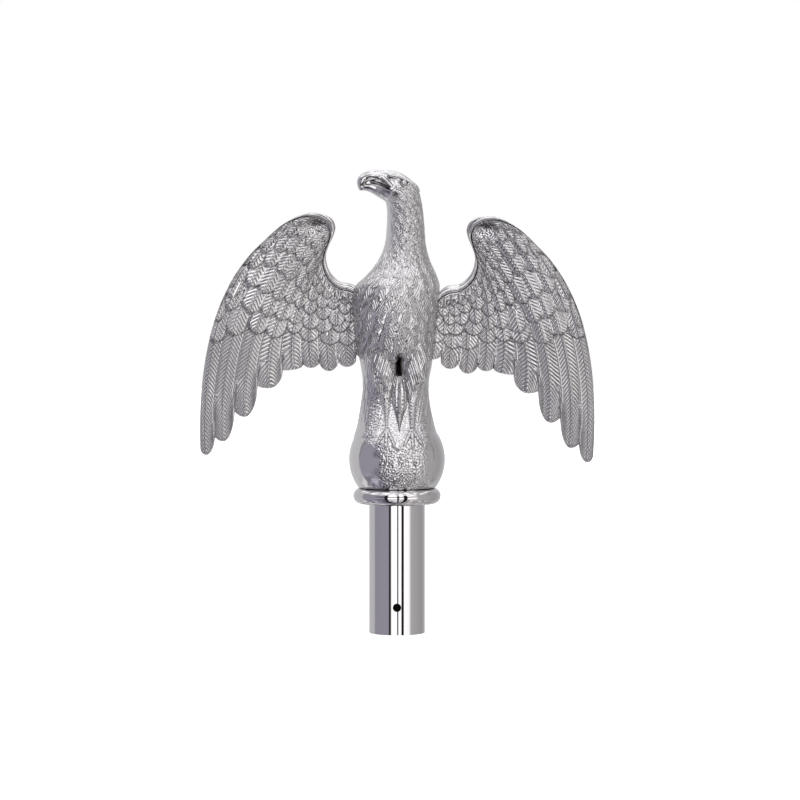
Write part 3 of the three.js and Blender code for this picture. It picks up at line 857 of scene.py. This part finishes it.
# Pull in the middle (x and height), feather tip (x and height), and y of the start, middle
# and tip
WING_LINES = [
    [16, 78, 13, 66, -1, 0, 1],
    [24, 80, 22.3, 61, -2, -1, 1],
    [35, 81, 31.9, 57.2, -3, -2, 1],
    [46, 83, 41.9, 58.6, -4.5, -3, 0.5],
    [57, 86, 52, 57.6, -6.5, -4.5, 0],
    [69, 89, 66, 46.4, -9, -6, -0.5],
    [82, 91, 79, 30, -12.5, -7, -0.5],
    [95, 92, 90, 17.6, -14, -6.5, 0],
    [102.35, 88, 98, 12.5, -11, -5, 1],
]
FLIGHT_FEATHERS = 9
WING_COLUMNS = 144
WING_THICKNESS = 2.4
WING_TIP_THICKNESS = 1.7
WING_ROLL = 1.1
WINGS_X = 1
ROLL_PIVOT_HEIGHT = 77
WING_RIM_D = 4.4
RIM_OUTER_SHARE = 0.6
# Rows of coverts: how far along their tips lie, how many there are, lift, and pitch of barbs
COVERTS = [
    [0.09, 24, 0.45, 1.6],
    [0.165, 18, 0.6, 1.7],
    [0.255, 15, 0.9, 1.8],
    [0.36, 12, 1.25, 2],
    [0.48, 11, 1.35, 2.1],
    [0.6, 10, 1.4, 2.1],
    [0.73, 9, 1.4, 2.1],
]
BARB_SLANT = 1.15
FEATHER_TILT = 0.08
COVERT_OUTER_SHRINK = 0.24
COVERT_OVERLAP = 1.45
COVERT_POINT = 5
FLIGHT_HALF = 0.54 / FLIGHT_FEATHERS
# How long each flight feather's tip slopes, on its side towards the body and on the other
FLIGHT_TIPS = [
    (4, 4),
    (4, 4),
    (4, 4),
    (4.5, 4),
    (5, 3),
    (10, 3),
    (15, 3),
    (15, 3),
    (9, 4),
]
FLIGHT_LIFT = 1.1
FLIGHT_PITCH = 2.1
FLIGHT_SHARE = 0.55
FLIGHT_BARBS = 1.2
BACK_PITCH = 2.4
BACK_BARBS = 0.5
BACK_GROOVE = 0.35
STROKE_PITCH = 1.7
STROKE_LENGTH = 4
FRONT_ROWS = 150
EVEN_ROWS = 117
EVEN_TO = 0.8
BACK_FROM = 0.06
BACK_ROWS = 20
BACK_LAST_ROWS = 7
# Where the rolled rim and its groove end, as a share of the rim's diameter
RIM_GROOVE = 1.25
# The shallow hollow at the wrist: its middle, how wide and how deep
APEX = (42, 128.5)
APEX_RADIUS = 4.6
APEX_STRETCH = 1.4
APEX_DEPTH = 1.1


def wing_points(across, along, lift):
    """Places on a wing: across from the flank out, along from the rim to the feather tips."""
    edge_x, edge_z = np.moveaxis(smooth_rows(WING_EDGE, across), -1, 0)
    pull_x, pull_z, tip_x, tip_z, y0, y1, y2 = np.moveaxis(smooth_rows(WING_LINES, across), -1, 0)

    def blend(a, b, c):
        first, second = a + (b - a) * along, b + (c - b) * along
        return first + (second - first) * along

    x = blend(edge_x, pull_x, tip_x)
    return np.stack([x, blend(y0, y1, y2) - lift, foot + blend(edge_z, pull_z, tip_z)], -1)


wing_across = np.linspace(0, 1, WING_COLUMNS + 1)[:, None]
line_steps = np.linspace(0, 1.2, 97)
lines = wing_points(wing_across + 0 * line_steps, line_steps + 0 * wing_across, 0)
line_lengths = np.cumsum(np.linalg.norm(np.diff(lines, axis=1, prepend=lines[:, :1]), axis=-1), 1)


def at_column(values, across):
    """One column's values, at a share across the wing."""
    place = np.clip(across, 0, 1) * WING_COLUMNS
    k = min(int(place), WING_COLUMNS - 1)
    return values[k] + (values[k + 1] - values[k]) * (place - k)


def on_quill(centre, along):
    """Distance from the rim along a quill."""
    return np.interp(along, line_steps, at_column(line_lengths, centre))


def slant_and_spread(points):
    """For one share across the wing: how far a step across also goes along the feathers, and
    how far it goes square to them."""
    over = np.gradient(points, axis=0) * WING_COLUMNS
    down = np.gradient(points, axis=1)
    down = down / np.linalg.norm(down, axis=-1)[..., None]
    slant = (over * down).sum(-1)
    return slant, np.linalg.norm(over - slant[..., None] * down, axis=-1)


def feather_reach():
    """How far along the flight feathers' rounded tips reach, column by column."""
    slant, _ = slant_and_spread(lines)
    tip = int(np.searchsorted(line_steps, 1))
    reach = np.zeros(WING_COLUMNS + 1)
    for n in range(FLIGHT_FEATHERS):
        centre = (n + 0.5) / FLIGHT_FEATHERS
        off = wing_across[:, 0] - centre
        side = off / FLIGHT_HALF
        slope = np.where(side < 0, *FLIGHT_TIPS[n])
        behind = slope * (1 - np.sqrt(np.clip(1 - side**2, 0, 1)))
        target = on_quill(centre, 1) - behind - at_column(slant[:, tip], centre) * off
        along = np.interp(target, at_column(line_lengths, centre), line_steps)
        reach = np.maximum(reach, np.where(abs(side) < 1, along, 0))
    return reach[:, None]


def wing(side):
    """A wing, drawn on the right and mirrored for the left. The pair is rolled together."""
    across = wing_across
    rim_d = WING_RIM_D * (1 + (RIM_OUTER_SHARE - 1) * across)
    length = line_lengths[:, int(np.searchsorted(line_steps, 1))][:, None]
    reach = feather_reach()

    # Rim first, then the feathered plate, in even rows but for the last, which end at the tips
    turn = np.linspace(0, 1, 11)[None, :]
    rim_from = rim_d * 0.5 * (1 - np.cos(turn * math.pi * 0.92))
    rim_lift = rim_d * 0.5 * np.sin(0.1 + turn * math.pi * 0.9) * 0.95
    rim_end = rim_from[:, -1:] / length
    even = np.linspace(0, 1, EVEN_ROWS + 1)[None, 1:]
    last = np.linspace(0, 1, FRONT_ROWS - even.shape[1])[None, 1:]
    even_rows = rim_end + (EVEN_TO - rim_end) * even
    last_rows = EVEN_TO + (reach - EVEN_TO) * last
    along = np.concatenate([rim_from / length, even_rows, last_rows], axis=1)
    far = along * length
    flat = wing_points(across + 0 * along, along, 0)
    slant, spread = slant_and_spread(flat)
    relief = np.zeros(flat.shape[:2])
    marks = no_marks(flat)

    def lay(centre, tip, half, reach_back, lift, point, pitch):
        off = across - centre + 0 * along
        back = on_quill(centre, tip) - on_quill(centre, along) - slant * off
        full = half * float(np.median(at_column(spread, centre)))
        shape = (full, reach_back, lift, point, FEATHER_TILT * lift, pitch, BARB_SLANT)
        lay_feather(relief, marks, back, off / half * full, shape)

    for n in range(FLIGHT_FEATHERS):
        centre = (n + 0.5) / FLIGHT_FEATHERS
        reach_back = FLIGHT_SHARE * on_quill(centre, 1)
        slope = np.where(across < centre, *FLIGHT_TIPS[n]) + 0 * along
        lay(centre, 1, FLIGHT_HALF, reach_back, FLIGHT_LIFT, slope, FLIGHT_PITCH)
    befores = [0] + [row[0] for row in COVERTS]
    for number, (tip, count, lift, pitch) in reversed(list(enumerate(COVERTS))):
        for n in range(-1, count + 1):
            jitter = rng.normal(size=4)
            centre = (n + 0.5 + number % 2 / 2 + 0.08 * jitter[0]) / count
            shrink = 1 - COVERT_OUTER_SHRINK * float(fade_in(np.array(centre), 0.45, 0.95))
            tip_at = tip * shrink * (1 + 0.025 * jitter[1])
            reach_back = (tip - befores[number]) * shrink * COVERT_OVERLAP * on_quill(centre, 1)
            half = (FEATHER_COVER + 0.03 * jitter[2]) / count
            lay(centre, tip_at, half, reach_back, lift, COVERT_POINT, pitch)
    fade_at_edges(marks, np.where(marks[..., 2] > FLIGHT_FEATHERS, 1, FLIGHT_BARBS))

    on_rim = np.arange(along.shape[1])[None, :] < rim_from.shape[1]
    inner = 1 - fade_in(across, 0.46, 0.56)
    in_groove = far < rim_d * RIM_GROOVE
    strokes = (far > rim_d * RIM_GROOVE) & (far < rim_d * RIM_GROOVE + STROKE_LENGTH * inner)
    rim_run = np.cumsum(np.linalg.norm(np.diff(lines[:, 0], axis=0, prepend=lines[:1, 0]), axis=-1))
    stroke_marks = no_marks(flat)
    stroke_marks[..., 0] = rim_run[:, None] / STROKE_PITCH
    stroke_marks[..., 2] = 1
    marks = np.where(strokes[..., None], stroke_marks, marks)
    marks = np.where((on_rim | in_groove)[..., None], no_marks(flat), marks)
    near_rim = fade_in(far, rim_d * 0.9, rim_d * 0.9 + 2.5)
    x, height = flat[..., 0], flat[..., 2] - foot
    off_apex = np.hypot((x - APEX[0]) / APEX_STRETCH, height - APEX[1])
    hollow = ridge(off_apex, APEX_RADIUS) * ~on_rim
    marks[..., 2:] *= 1 - fade_in(hollow, 0.3, 0.6)[..., None]
    relief = relief * near_rim * (1 - fade_in(hollow, 0.3, 0.6))
    # Painted shade at the top of the wrist's hollow, which also stands in for a brown reflection
    # there
    brown = hollow * fade_in(height, APEX[1] - 1, APEX[1] + 3)
    marks[..., 3] = np.maximum(marks[..., 3], 0.8 * fade_in(brown, 0.2, 0.7))
    stipple = 0.7 * fade_in(hollow, 0.1, 0.4)
    plate = WING_THICKNESS + (WING_TIP_THICKNESS - WING_THICKNESS) * along
    second_line = 0.5 * ridge(far - rim_d * 1.12, 0.45) * (1 - fade_in(across, 0.9, 1))
    lift = plate / 2 + relief + second_line - APEX_DEPTH * hollow
    lift = np.where(on_rim, np.pad(rim_lift, ((0, 0), (0, FRONT_ROWS - 1))), lift)
    lift[:, -1] = lift[:, -2] * 0.55

    back_steps = np.linspace(BACK_FROM, EVEN_TO, BACK_ROWS)[None, :] + 0 * reach
    back_end = EVEN_TO + (reach - EVEN_TO) * np.linspace(0, 1, BACK_LAST_ROWS)[None, 1:]
    back_rim = np.concatenate([rim_d * 0.2, rim_d * 0.5], axis=1) / length
    back_along = np.concatenate([back_rim, back_steps, back_end], axis=1)
    back_flat = WING_THICKNESS / 2 + 0 * back_along[:, 2:]
    back_lift = np.concatenate([rim_d * 0.36, rim_d * 0.42, back_flat], axis=1)
    grooves = BACK_GROOVE * np.cos(across * FLIGHT_FEATHERS * 2 * math.pi)
    back_lift = back_lift - grooves * fade_in(back_along, 0.2, 0.4)
    back_lift[:, -1] *= 0.6
    points = np.concatenate(
        [
            wing_points(across + 0 * along, along, lift),
            wing_points(across + 0 * back_along, back_along, -back_lift)[:, ::-1],
        ],
        axis=1,
    )
    back_marks = no_marks(points[:, along.shape[1] :])
    back_far = (back_along * length)[:, ::-1]
    off = abs((across * FLIGHT_FEATHERS + 0.5) % 1 - 0.5) * np.median(spread) / FLIGHT_FEATHERS
    back_marks[..., 0] = (back_far - BARB_SLANT * off) / BACK_PITCH
    back_marks[..., 2] = BACK_BARBS * fade_in(back_far, 14, 24)
    marks = np.concatenate([marks, back_marks], axis=1)
    stipple = np.pad(stipple, ((0, 0), (0, back_along.shape[1])))
    places = np.concatenate([along, back_along[:, ::-1]], axis=1)
    pivot = foot + ROLL_PIVOT_HEIGHT
    roll = math.radians(WING_ROLL)
    x, z = points[..., 0] * side, points[..., 2] - pivot
    points[..., 0] = x * math.cos(roll) + z * math.sin(roll) + WINGS_X
    points[..., 2] = z * math.cos(roll) - x * math.sin(roll) + pivot
    return skin("wing", points, marks, stipple, ends=(along.shape[1], places))


# Eagle casting
# Bird and ball are one zinc casting, so the parts above are fused into one skin. It is
# chased, then chromed whole, and its flat foot stands on the collar ring.

eagle_casting = body()
eagle_casting.name = "eagle_casting"
for part in (loft("beak", UPPER_BEAK, 22, 24), loft("beak", LOWER_BEAK, 14, 24)):
    cut_or_join(eagle_casting, part, "UNION")
for side in (-1, 1):
    cut_or_join(eagle_casting, mouth_cut(side), "DIFFERENCE")
for part in (loft("tongue", TONGUE, 16, 20), loft("crest", CREST, 16, 20)):
    cut_or_join(eagle_casting, part, "UNION")
for side in (-1, 1):
    cut_or_join(eagle_casting, eye(side), "UNION")
    cut_or_join(eagle_casting, loft("brow", BROW, 14, 14, side * BROW_Y), "UNION")
    cut_or_join(eagle_casting, leg(side), "UNION")
    for end in TOE_ENDS:
        cut_or_join(eagle_casting, toe(end, side), "UNION")
cut_or_join(eagle_casting, tail_front(), "UNION")
for index in range(TAIL_FEATHERS):
    cut_or_join(eagle_casting, tail_feather(index), "UNION")
cut_or_join(eagle_casting, ball(), "UNION")
for side in (-1, 1):
    cut_or_join(eagle_casting, wing(side), "UNION")

# A join can leave a sliver of no thickness, which is two faces back to back.
casting = bmesh.new()
casting.from_mesh(eagle_casting.data)
same_corners = {}
for face in casting.faces:
    same_corners.setdefault(frozenset(face.verts), []).append(face)
slivers = [face for faces in same_corners.values() if len(faces) > 1 for face in faces]
bmesh.ops.delete(casting, geom=slivers, context="FACES")
casting.to_mesh(eagle_casting.data)
casting.free()


def mark_hollows(piece):
    """How deep each point lies between its neighbours, evened out once, as an attribute."""
    mesh = piece.data
    count = len(mesh.vertices)
    points = np.empty(count * 3, np.float32)
    mesh.vertices.foreach_get("co", points)
    normals = np.empty(count * 3, np.float32)
    mesh.vertices.foreach_get("normal", normals)
    ends = np.empty(len(mesh.edges) * 2, np.int32)
    mesh.edges.foreach_get("vertices", ends)
    points, normals, ends = points.reshape(-1, 3), normals.reshape(-1, 3), ends.reshape(-1, 2)
    a, b = ends.T
    along = points[b] - points[a]
    along = along / (np.linalg.norm(along, axis=1)[:, None] + 1e-9)
    links = np.bincount(ends.ravel(), minlength=count)
    rise_a = (along * normals[a]).sum(1)
    rise_b = (-along * normals[b]).sum(1)
    hollow = np.bincount(a, rise_a, count) + np.bincount(b, rise_b, count)
    hollow = hollow / np.maximum(links, 1)
    around = np.bincount(a, hollow[b], count) + np.bincount(b, hollow[a], count)
    hollow = (hollow + around) / (1 + links)
    kept = mesh.attributes.new("hollow", "FLOAT", "POINT")
    kept.data.foreach_set("value", hollow.astype(np.float32))


mark_hollows(eagle_casting)

# Bright chrome over a cast and chased surface: softer than the tube, with barbs cut beside
# each quill and a punched ball. The hollows, the barbs' grooves, the punch marks and the lines
# under the feathers' tips are painted darker and a little brown, as painted shade.
CAST_GRAIN = 0.6
BARB_DEPTH = 0.1
GROOVE_SHADE = 0.34
CAST_CHROME = "#cdcbcc"
QUILL_HEIGHT = 0.16
GRAIN_HEIGHT = 0.018
PUNCH_SPACING = 1.15
PUNCH_DEPTH = 0.26
PUNCH_SHADE = 0.75
# How much painted shade the hollows get, and the dark brown of all the painted shade
HOLLOW_SHADE = 0.9
PAINTED_SHADE_BROWN = "#35312f"

cast_chrome = bpy.data.materials.new("chromed_casting")
cast_chrome.use_nodes = True
tree = cast_chrome.node_tree
shader = tree.nodes["Principled BSDF"]
shader.inputs["Metallic"].default_value = 1
cut = add_node(tree, "ShaderNodeAttribute", {"attribute_name": "feather"}).outputs["Vector"]
turns_off_cut = add_node(tree, "ShaderNodeSeparateXYZ", _0=cut).outputs
wave = add_node(
    tree, "ShaderNodeMath", {"operation": "MULTIPLY"}, _0=turns_off_cut[0], _1=2 * math.pi
)
wave = add_node(tree, "ShaderNodeMath", {"operation": "SINE"}, _0=wave.outputs[0])
# Painted shade in the barbs' grooves
grooves = add_node(
    tree, "ShaderNodeMapRange", _0=wave.outputs[0], _1=-1, _2=0.1, _3=GROOVE_SHADE, _4=0
)
grooves = add_node(
    tree, "ShaderNodeMath", {"operation": "MULTIPLY"}, _0=grooves.outputs[0], _1=turns_off_cut[2]
)
# Painted shade in the hollows, joined by the painted lines and spots of the shade attribute
depth = add_node(tree, "ShaderNodeAttribute", {"attribute_name": "hollow"}).outputs["Fac"]
painted_darkness = add_node(tree, "ShaderNodeMapRange", _0=depth, _1=0.07, _2=0.2, _3=0, _4=HOLLOW_SHADE)
shade = add_node(tree, "ShaderNodeAttribute", {"attribute_name": "shade"}).outputs["Fac"]
painted_darkness = add_node(tree, "ShaderNodeMath", {"operation": "MAXIMUM"}, _0=painted_darkness.outputs[0], _1=shade)
place = add_node(tree, "ShaderNodeTexCoord").outputs["Object"]
punches = add_node(tree, "ShaderNodeTexVoronoi", Vector=place, Scale=1 / (PUNCH_SPACING * MM))
punched = add_node(tree, "ShaderNodeAttribute", {"attribute_name": "stipple"}).outputs["Fac"]
# Painted shade in the punch marks
dots = add_node(
    tree, "ShaderNodeMapRange", _0=punches.outputs[0], _1=0.14, _2=0.42, _3=PUNCH_SHADE, _4=0
)
dots = add_node(
    tree, "ShaderNodeMath", {"operation": "MULTIPLY"}, _0=dots.outputs[0], _1=punched
)
for more in (dots, grooves):
    painted_darkness = add_node(
        tree, "ShaderNodeMath", {"operation": "MAXIMUM"}, _0=painted_darkness.outputs[0], _1=more.outputs[0]
    )
# The painted shade darkens the chrome towards dark brown
colour = add_node(
    tree,
    "ShaderNodeMix",
    {"data_type": "RGBA"},
    _0=painted_darkness.outputs[0],
    _6=linear(CAST_CHROME),
    _7=linear(PAINTED_SHADE_BROWN),
)
tree.links.new(colour.outputs[2], shader.inputs["Base Color"])
dull = add_node(tree, "ShaderNodeMapRange", _0=depth, _1=0, _2=0.3, _3=0.09, _4=0.25)
tree.links.new(dull.outputs[0], shader.inputs["Roughness"])

barbs = add_node(
    tree, "ShaderNodeMath", {"operation": "MULTIPLY"}, _0=wave.outputs[0], _1=turns_off_cut[2]
)
barbs = add_node(
    tree, "ShaderNodeMath", {"operation": "MULTIPLY"}, _0=barbs.outputs[0], _1=BARB_DEPTH
)
quill = add_node(
    tree, "ShaderNodeMapRange", _0=turns_off_cut[1], _1=0.25, _2=0.6, _3=QUILL_HEIGHT, _4=0
)
grain = add_node(tree, "ShaderNodeTexNoise", Vector=place, Scale=1 / (CAST_GRAIN * MM), Detail=2)
grain = add_node(
    tree, "ShaderNodeMath", {"operation": "MULTIPLY"}, _0=grain.outputs[0], _1=GRAIN_HEIGHT
)
punches = add_node(
    tree, "ShaderNodeMath", {"operation": "MULTIPLY"}, _0=punches.outputs[0], _1=punched
)
punches = add_node(
    tree, "ShaderNodeMath", {"operation": "MULTIPLY"}, _0=punches.outputs[0], _1=PUNCH_DEPTH
)
total = barbs
for more in (quill, grain, punches):
    total = add_node(
        tree, "ShaderNodeMath", {"operation": "ADD"}, _0=total.outputs[0], _1=more.outputs[0]
    )
relief = add_node(tree, "ShaderNodeBump", Strength=1, Distance=MM, Height=total.outputs[0])
tree.links.new(relief.outputs[0], shader.inputs["Normal"])
finish_piece(eagle_casting, cast_chrome, "eagle", crease=50)

# Stage
# A pale floor and a light studio tent. Its grey card, its white panels and the dark gaps
# between them give the chrome its bands. The floor is left out of the reflections.

FLOOR_SIZE = 8000

bpy.ops.mesh.primitive_plane_add(size=FLOOR_SIZE * MM, location=(0, 0, 0))
floor = bpy.context.object
floor.name = "floor"
floor.visible_glossy = False
pale = bpy.data.materials.new("pale_paper")
pale.use_nodes = True
paper = pale.node_tree.nodes["Principled BSDF"]
paper.inputs["Base Color"].default_value = linear("#f7f7f7")
paper.inputs["Roughness"].default_value = 0.9
paper.inputs["Emission Color"].default_value = (1, 1, 1, 1)
paper.inputs["Emission Strength"].default_value = 0.45
floor.data.materials.append(pale)

# What stands round the object at its own level, by its bearing from the camera's side, in
# degrees to the right, and its brightness
TENT = [
    (-180, "#a6a6a8"),
    (-106, "#a6a6a8"),
    (-102, "#83808a"),
    (-36, "#85828c"),
    (-31, "#0a0a0a"),
    (-26, "#0a0a0a"),
    (-22, "#ffffff"),
    (-0.5, "#ffffff"),
    (1, "#2c2c2c"),
    (5, "#343434"),
    (7, "#ffffff"),
    (17, "#f4f4f4"),
    (19, "#101010"),
    (27, "#101010"),
    (30, "#fffcf8"),
    (50, "#f0eeec"),
    (60, "#9c9b9c"),
    (120, "#8a898a"),
    (180, "#a6a6a8"),
]
# How much of that is left in front at other heights, by elevation in degrees
LEVELS = [
    (-90, "#66666a"),
    (-58, "#7c7c80"),
    (-43, "#8c8c90"),
    (-38, "#ffffff"),
    (-34, "#f0f0f2"),
    (-31, "#443c38"),
    (-26, "#3a3432"),
    (-21, "#c8c8cc"),
    (-12, "#f0f0f2"),
    (0, "#ffffff"),
    (5, "#d8d8dc"),
    (10, "#505054"),
    (15, "#303034"),
    (20, "#ffffff"),
    (36, "#ffffff"),
    (90, "#e0e0e2"),
]
SIDE_LEVEL = "#f6f6f6"
TENT_GLOW = 2.1
ROOF = "#cacacc"
# Where the sides take over from the levels, by bearing, and the roof, by elevation
SIDE_FROM = (45, 65)
ROOF_FROM = (30, 42)
# How fast the light varies over the tent's roof and what lies below, from which elevation,
# and between which strengths
PATCHES = 6
PATCHES_FROM = (22, 40)
PATCH_GLOW = (0.5, 1.6)

world = bpy.data.worlds.new("studio_tent")
bpy.context.scene.world = world
world.use_nodes = True
tree = world.node_tree
tree.nodes.clear()


def ramp_of(tree, value, low, high, stops):
    """A ramp of colours over an angle, from stops that are given in degrees."""
    share = add_node(tree, "ShaderNodeMapRange", _0=value, _1=low, _2=high, _3=0, _4=1)
    node = add_node(tree, "ShaderNodeValToRGB", _0=share.outputs[0])
    for number, (place, colour) in enumerate(stops):
        at = (math.radians(place) - low) / (high - low)
        elements = node.color_ramp.elements
        stop = elements[number] if number < 2 else elements.new(at)
        stop.position = at
        stop.color = linear(colour)
    return node.outputs[0]


way = add_node(tree, "ShaderNodeTexCoord").outputs["Generated"]
parts = add_node(tree, "ShaderNodeSeparateXYZ", _0=way).outputs
toward = add_node(tree, "ShaderNodeMath", {"operation": "MULTIPLY"}, _0=parts["Y"], _1=-1)
bearing = add_node(
    tree, "ShaderNodeMath", {"operation": "ARCTAN2"}, _0=parts["X"], _1=toward.outputs[0]
)
elevation = add_node(tree, "ShaderNodeMath", {"operation": "ARCSINE"}, _0=parts["Z"])
round_about = ramp_of(tree, bearing.outputs[0], -math.pi, math.pi, TENT)
up_and_down = ramp_of(tree, elevation.outputs[0], -math.pi / 2, math.pi / 2, LEVELS)
aside = add_node(tree, "ShaderNodeMath", {"operation": "ABSOLUTE"}, _0=bearing.outputs[0])
aside = add_node(
    tree,
    "ShaderNodeMapRange",
    _0=aside.outputs[0],
    _1=math.radians(SIDE_FROM[0]),
    _2=math.radians(SIDE_FROM[1]),
)
levels = add_node(
    tree,
    "ShaderNodeMix",
    {"data_type": "RGBA"},
    _0=aside.outputs[0],
    _6=up_and_down,
    _7=linear(SIDE_LEVEL),
)
tent = add_node(
    tree,
    "ShaderNodeMix",
    {"data_type": "RGBA", "blend_type": "MULTIPLY"},
    _0=1,
    _6=round_about,
    _7=levels.outputs[2],
)
top = add_node(
    tree,
    "ShaderNodeMapRange",
    _0=elevation.outputs[0],
    _1=math.radians(ROOF_FROM[0]),
    _2=math.radians(ROOF_FROM[1]),
)
roof = add_node(
    tree,
    "ShaderNodeMix",
    {"data_type": "RGBA"},
    _0=top.outputs[0],
    _6=tent.outputs[2],
    _7=linear(ROOF),
)
patches = add_node(tree, "ShaderNodeTexNoise", Vector=way, Scale=PATCHES, Detail=1)
patches = add_node(
    tree,
    "ShaderNodeMapRange",
    _0=patches.outputs[0],
    _1=0.4,
    _2=0.6,
    _3=PATCH_GLOW[0],
    _4=PATCH_GLOW[1],
)
steep = add_node(tree, "ShaderNodeMath", {"operation": "ABSOLUTE"}, _0=elevation.outputs[0])
steep = add_node(
    tree,
    "ShaderNodeMapRange",
    _0=steep.outputs[0],
    _1=math.radians(PATCHES_FROM[0]),
    _2=math.radians(PATCHES_FROM[1]),
)
patches = add_node(tree, "ShaderNodeMix", _0=steep.outputs[0], _2=1.0, _3=patches.outputs[0])
strength = add_node(
    tree, "ShaderNodeMath", {"operation": "MULTIPLY"}, _0=patches.outputs[0], _1=TENT_GLOW
)
glow = add_node(tree, "ShaderNodeBackground", Color=roof.outputs[2], Strength=strength.outputs[0])
clear = add_node(tree, "ShaderNodeBackground", Color=(1, 1, 1, 1), Strength=1.0)
seen = add_node(tree, "ShaderNodeLightPath").outputs["Is Camera Ray"]
mixed = add_node(tree, "ShaderNodeMixShader", _0=seen, _1=glow.outputs[0], _2=clear.outputs[0])
add_node(tree, "ShaderNodeOutputWorld", Surface=mixed.outputs[0])

# Camera
# A long lens, a touch above level, at half a millimetre for each pixel of the 800 wide frame.

FRAME_WIDTH = 400
AIM = (1.5, 0, 116.5)
CAMERA_DISTANCE = 1400
CAMERA_RISE = 2
SENSOR = 36

camera_data = bpy.data.cameras.new("camera")
camera_data.sensor_width = SENSOR
camera_data.lens = SENSOR * CAMERA_DISTANCE / FRAME_WIDTH
camera = bpy.data.objects.new("camera", camera_data)
bpy.context.scene.collection.objects.link(camera)
rise = math.radians(CAMERA_RISE)
camera.location = (
    AIM[0] * MM,
    -CAMERA_DISTANCE * math.cos(rise) * MM,
    (AIM[2] + CAMERA_DISTANCE * math.sin(rise)) * MM,
)
camera.rotation_euler = (math.pi / 2 - rise, 0, 0)
bpy.context.scene.camera = camera
bpy.context.scene.view_settings.view_transform = "Standard"
